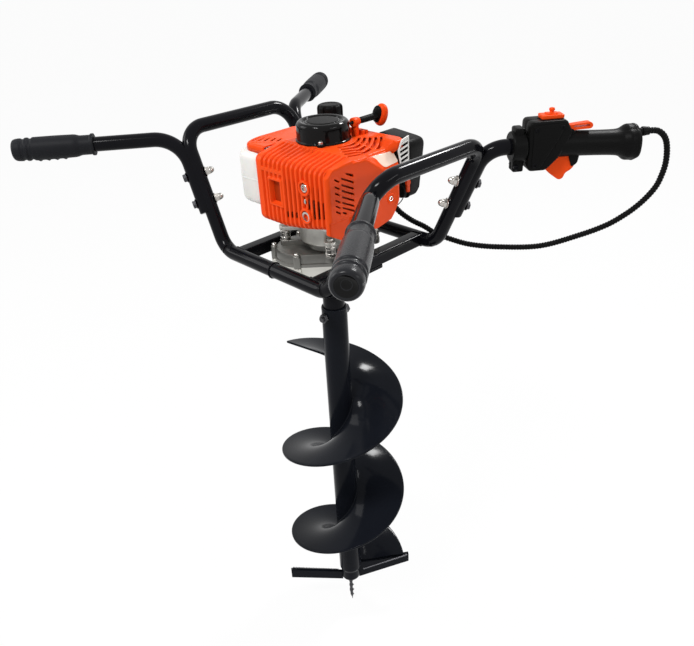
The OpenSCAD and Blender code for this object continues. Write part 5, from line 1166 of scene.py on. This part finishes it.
class AUGER_OT_drill(bpy.types.Operator):
    """Weld the helical flight to its tube, with the cutter blades and the twisted pilot"""
    bl_idname = "auger.drill"
    bl_label = "Drill"

    # The flight's angle at no turns, its first and last turn and its height there; half its wall, and its inner radius
    start, first_turn, turns, low = math.radians(46.5), 6.5 / 360, 2.4, 119
    half, core = 2.5, 23.5

    def flight(self):
        """A flat section turned as it rises: r (cos a, sin a), pitch u + low; and the weld beads at its root."""
        reach = mm("flight") / 2
        u = np.linspace(self.first_turn, self.turns, 361)[:, None]
        a, z = self.start + 2 * np.pi * u, self.low + mm("flight_pitch") * u
        half, core, fill = self.half, self.core, np.linspace(30, reach - 6, 12)
        section = ease([(core, -half), (reach, -half), (reach, half), (core, half)], [0.1, 1.6, 1.6, 0.1], 4)
        section = np.concatenate([section[:4], np.column_stack([fill, np.full(12, -half)]), section[4:12],
                                  np.column_stack([fill[::-1], np.full(12, half)]), section[12:]])
        r, dz = section[None, :, 0], section[None, :, 1]
        lines = [np.column_stack([24.6 * np.cos(a), 24.6 * np.sin(a), z + off]) for off in (3.0, -3.0)]
        return (skin(np.stack([r * np.cos(a), r * np.sin(a), z + dz], axis=-1)),
                [bead(line, 1.9, 0.4, 1.9, (0, 0, 1)) for line in lines])

    def blades(self):
        """Two upright plates that slope down to the tube, one with a crown, and a wavering weld along each."""
        made, seams, up = [], [], np.array([0, 0, 1.0])
        for angle, crown, root in ((53, [(121, 122.4)], 121), (233, [], 98)):
            along, across = compass(angle)
            shape = ease([(19, 75), (136, 103), (136, 126.5), *crown, (19, root)], 0.8, 4)
            cols = np.stack([along, up, -across], axis=1)
            made.append(loft(shape, [(0.8, -4), (0, -3.2), (0, 3.2), (0.8, 4)], cols=cols))
            s, waver = np.linspace(0, 1, 90)[:, None], 0.7 * np.cos(np.arange(90) * 1.3)[:, None]
            line = along * (28 + 104 * s) - across * 4.2 + up * (99 + 26 * s + waver)
            seams.append(bead(line, 1.5, 0.6, 2.3, (0, 0, 1)))
        return made, seams

    def pilot(self):
        """A flat bar twisted as it goes down: an ellipse turned by h times 2.6 turns, narrowing to the point."""
        h = np.linspace(0, 1, 60)[:, None]
        wide, flat = 5.6 * (1 - smooth(h, 0.72, 1.0) * 0.9), 2.2 * (1 - smooth(h, 0.8, 1.0) * 0.8)
        turn, k = h * 2 * np.pi * 2.6, np.linspace(0, 2 * np.pi, 20, endpoint=False)
        u, v = wide * np.cos(k), flat * np.sin(k)
        top, point = 84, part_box("pilot_point")[0].z / MM
        x, y = u * np.cos(turn) - v * np.sin(turn), u * np.sin(turn) + v * np.cos(turn)
        return skin(np.stack([x, y, top + (point - top) * h + 0 * k], -1))

    def execute(self, context):
        flight, beads = self.flight()
        put("helical_flight", DRILL, [flight], "drill_flight", "drill", rise=0, sharp=50)
        tube = [(18, 82), (21, 86), (21, 110), (24, 116), (24, 777), (23.8, 781), (24, 785), (24, 790), (23, 792),
                (20.2, 792), (20.2, 784)]
        stem = turned(tube, [1, 2, 2, 2, 1, 1, 1, 1, 0.6, 0.4, 0.4], sides=64, steps=4)
        put("drill_stem", DRILL, [stem], "drill_tube", "drill", rise=0)
        blades, seams = self.blades()
        put("cutting_blades", DRILL, blades, "cutter_blades", "drill", rise=0)
        put("flight_welds", DRILL, beads, body="drill", rise=0, sharp=80)
        put("blade_welds", "Weld bead", seams, body="drill", rise=0, sharp=80)
        put("twisted_pilot", "Dark steel", [self.pilot()], "pilot_point", "drill", rise=0)
        return {"FINISHED"}


class AUGER_OT_works(bpy.types.Operator):
    """Give the CAD nodes that stay their finishes"""
    bl_idname = "auger.works"
    bl_label = "Engine and works"

    own = {"muffler": "Bright muffler", "coupling_bolt": "Dark steel", "output_shaft": PAINT}

    def execute(self, context):
        by_slot = {look[0]: name for name, look in reversed(LOOKS.items())}
        slots = {p["node"]: p["material_slot"] for p in frame["record"]["subparts"]}
        for name, node in frame["nodes"].items():
            if not node.hide_render:
                node.data.materials.clear()
                node.data.materials.append(finish(self.own.get(name) or by_slot[slots[name]]))
        return {"FINISHED"}


class AUGER_OT_stage(bpy.types.Operator):
    """Set the white floor, the world and the soft studio lights"""
    bl_idname = "auger.stage"
    bl_label = "Stage"

    middle = (0, 0, 0.95)
    # Name, place, what it is turned to, width, height and watts of each lamp
    lamps = (("Key", (0.3, -1.9, 3.3), middle, 0.4, 0.8, 58),
             ("Fill", (-2.0, -1.6, 2.2), middle, 1.4, 1.4, 26),
             ("Rim", (0.1, 2.0, 3.0), (0, 0.05, 0.5), 0.4, 0.4, 55),
             ("Strip", (2.6, 0.4, 2.2), middle, 0.1, 1.6, 13),
             ("Low", (1.3, 1.45, 0.35), (0.2, 0, 1.1), 0.05, 1.4, 4))

    def white_seen(self, flow):
        """1 for rays from the camera and for mirrored or passed-on ones."""
        path = flow.add("ShaderNodeLightPath", out="Is Camera Ray")
        rays = path.socket.node.outputs
        total = path + Flow(flow.tree, rays["Is Glossy Ray"]) + Flow(flow.tree, rays["Is Transmission Ray"])
        return flow.add("ShaderNodeClamp", {}, {"Value": total})

    def floor_finish(self):
        """A matt pale floor that the camera, and what mirrors it, sees as white with a trace of the shadow."""
        mat = bpy.data.materials.new("White floor")
        mat.use_nodes = True
        tree = mat.node_tree
        flow = Flow(tree)
        shader = tree.nodes["Principled BSDF"]
        shader.inputs["Roughness"].default_value = 0.9
        shader.inputs["Specular IOR Level"].default_value = 0.0
        tone = flow.blend(flow.noise(3.0), (0.82, 0.82, 0.82, 1), (0.86, 0.86, 0.86, 1))
        flow.feed(shader.inputs["Base Color"], tone)
        lit = flow.add("ShaderNodeEmission", {}, {"Color": (1, 1, 1, 1), "Strength": 1.0})
        both = {0: self.white_seen(flow) * 0.95, 1: Flow(tree, shader.outputs[0]), 2: lit}
        flow.feed(tree.nodes["Material Output"].inputs["Surface"], flow.add("ShaderNodeMixShader", {}, both))
        return mat

    def execute(self, context):
        scene = context.scene
        scene.view_settings.view_transform = "Standard"
        world = bpy.data.worlds.new("Studio")
        scene.world = world
        world.use_nodes = True
        flow = Flow(world.node_tree)
        back = world.node_tree.nodes["Background"]
        back.inputs["Color"].default_value = (1, 1, 1, 1)
        flow.feed(back.inputs["Strength"], 0.45 + self.white_seen(flow) * 0.55)
        x, y = np.meshgrid(np.linspace(-40, 40, 81), np.linspace(-40, 40, 81))
        v, faces = skin(np.stack([x, y, np.full(x.shape, CAD_BOX[0].z - 0.5 * MM)], -1), wrap=False, caps=False)
        mesh = bpy.data.meshes.new("floor")
        mesh.from_pydata(v.tolist(), [], faces)
        mesh.materials.append(self.floor_finish())
        floor = bpy.data.objects.new("floor", mesh)
        scene.collection.objects.link(floor)
        for name, at, aim, width, height, watts in self.lamps:
            data = bpy.data.lights.new(name, "AREA")
            data.shape, data.size, data.size_y, data.energy = "RECTANGLE", width, height, watts
            lamp = bpy.data.objects.new(name, data)
            lamp.visible_camera = False
            place(lamp, axes(np.subtract(at, aim)), at)
        return {"FINISHED"}


MAKERS = (AUGER_OT_camera, AUGER_OT_cable, AUGER_OT_frame, AUGER_OT_handles, AUGER_OT_throttle, AUGER_OT_gearbox,
          AUGER_OT_guard, AUGER_OT_covers, AUGER_OT_starter, AUGER_OT_tank, AUGER_OT_air, AUGER_OT_drill,
          AUGER_OT_works, AUGER_OT_stage)


class AUGER_PT_panel(bpy.types.Panel):
    """Sizes, colours and makers of the auger"""
    bl_label = "Earth auger"
    bl_idname = "AUGER_PT_panel"
    bl_space_type = "VIEW_3D"
    bl_region_type = "UI"
    bl_category = "Auger"

    def draw(self, context):
        for group in (context.scene.auger_sizes, context.scene.auger_colours):
            for key in group.__annotations__:
                self.layout.prop(group, key)
        for maker in MAKERS:
            self.layout.operator(maker.bl_idname)


CLASSES = (AugerColours, AugerSizes, *MAKERS, AUGER_PT_panel)


def register():
    for cls in CLASSES:
        bpy.utils.register_class(cls)
    bpy.types.Scene.auger_colours = PointerProperty(type=AugerColours)
    bpy.types.Scene.auger_sizes = PointerProperty(type=AugerSizes)


def unregister():
    del bpy.types.Scene.auger_sizes
    del bpy.types.Scene.auger_colours
    for cls in reversed(CLASSES):
        bpy.utils.unregister_class(cls)


def main():
    """Register the add-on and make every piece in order."""
    register()
    for maker in MAKERS:
        group, name = maker.bl_idname.split(".")
        getattr(getattr(bpy.ops, group), name)()


if __name__ == "__main__":
    main()
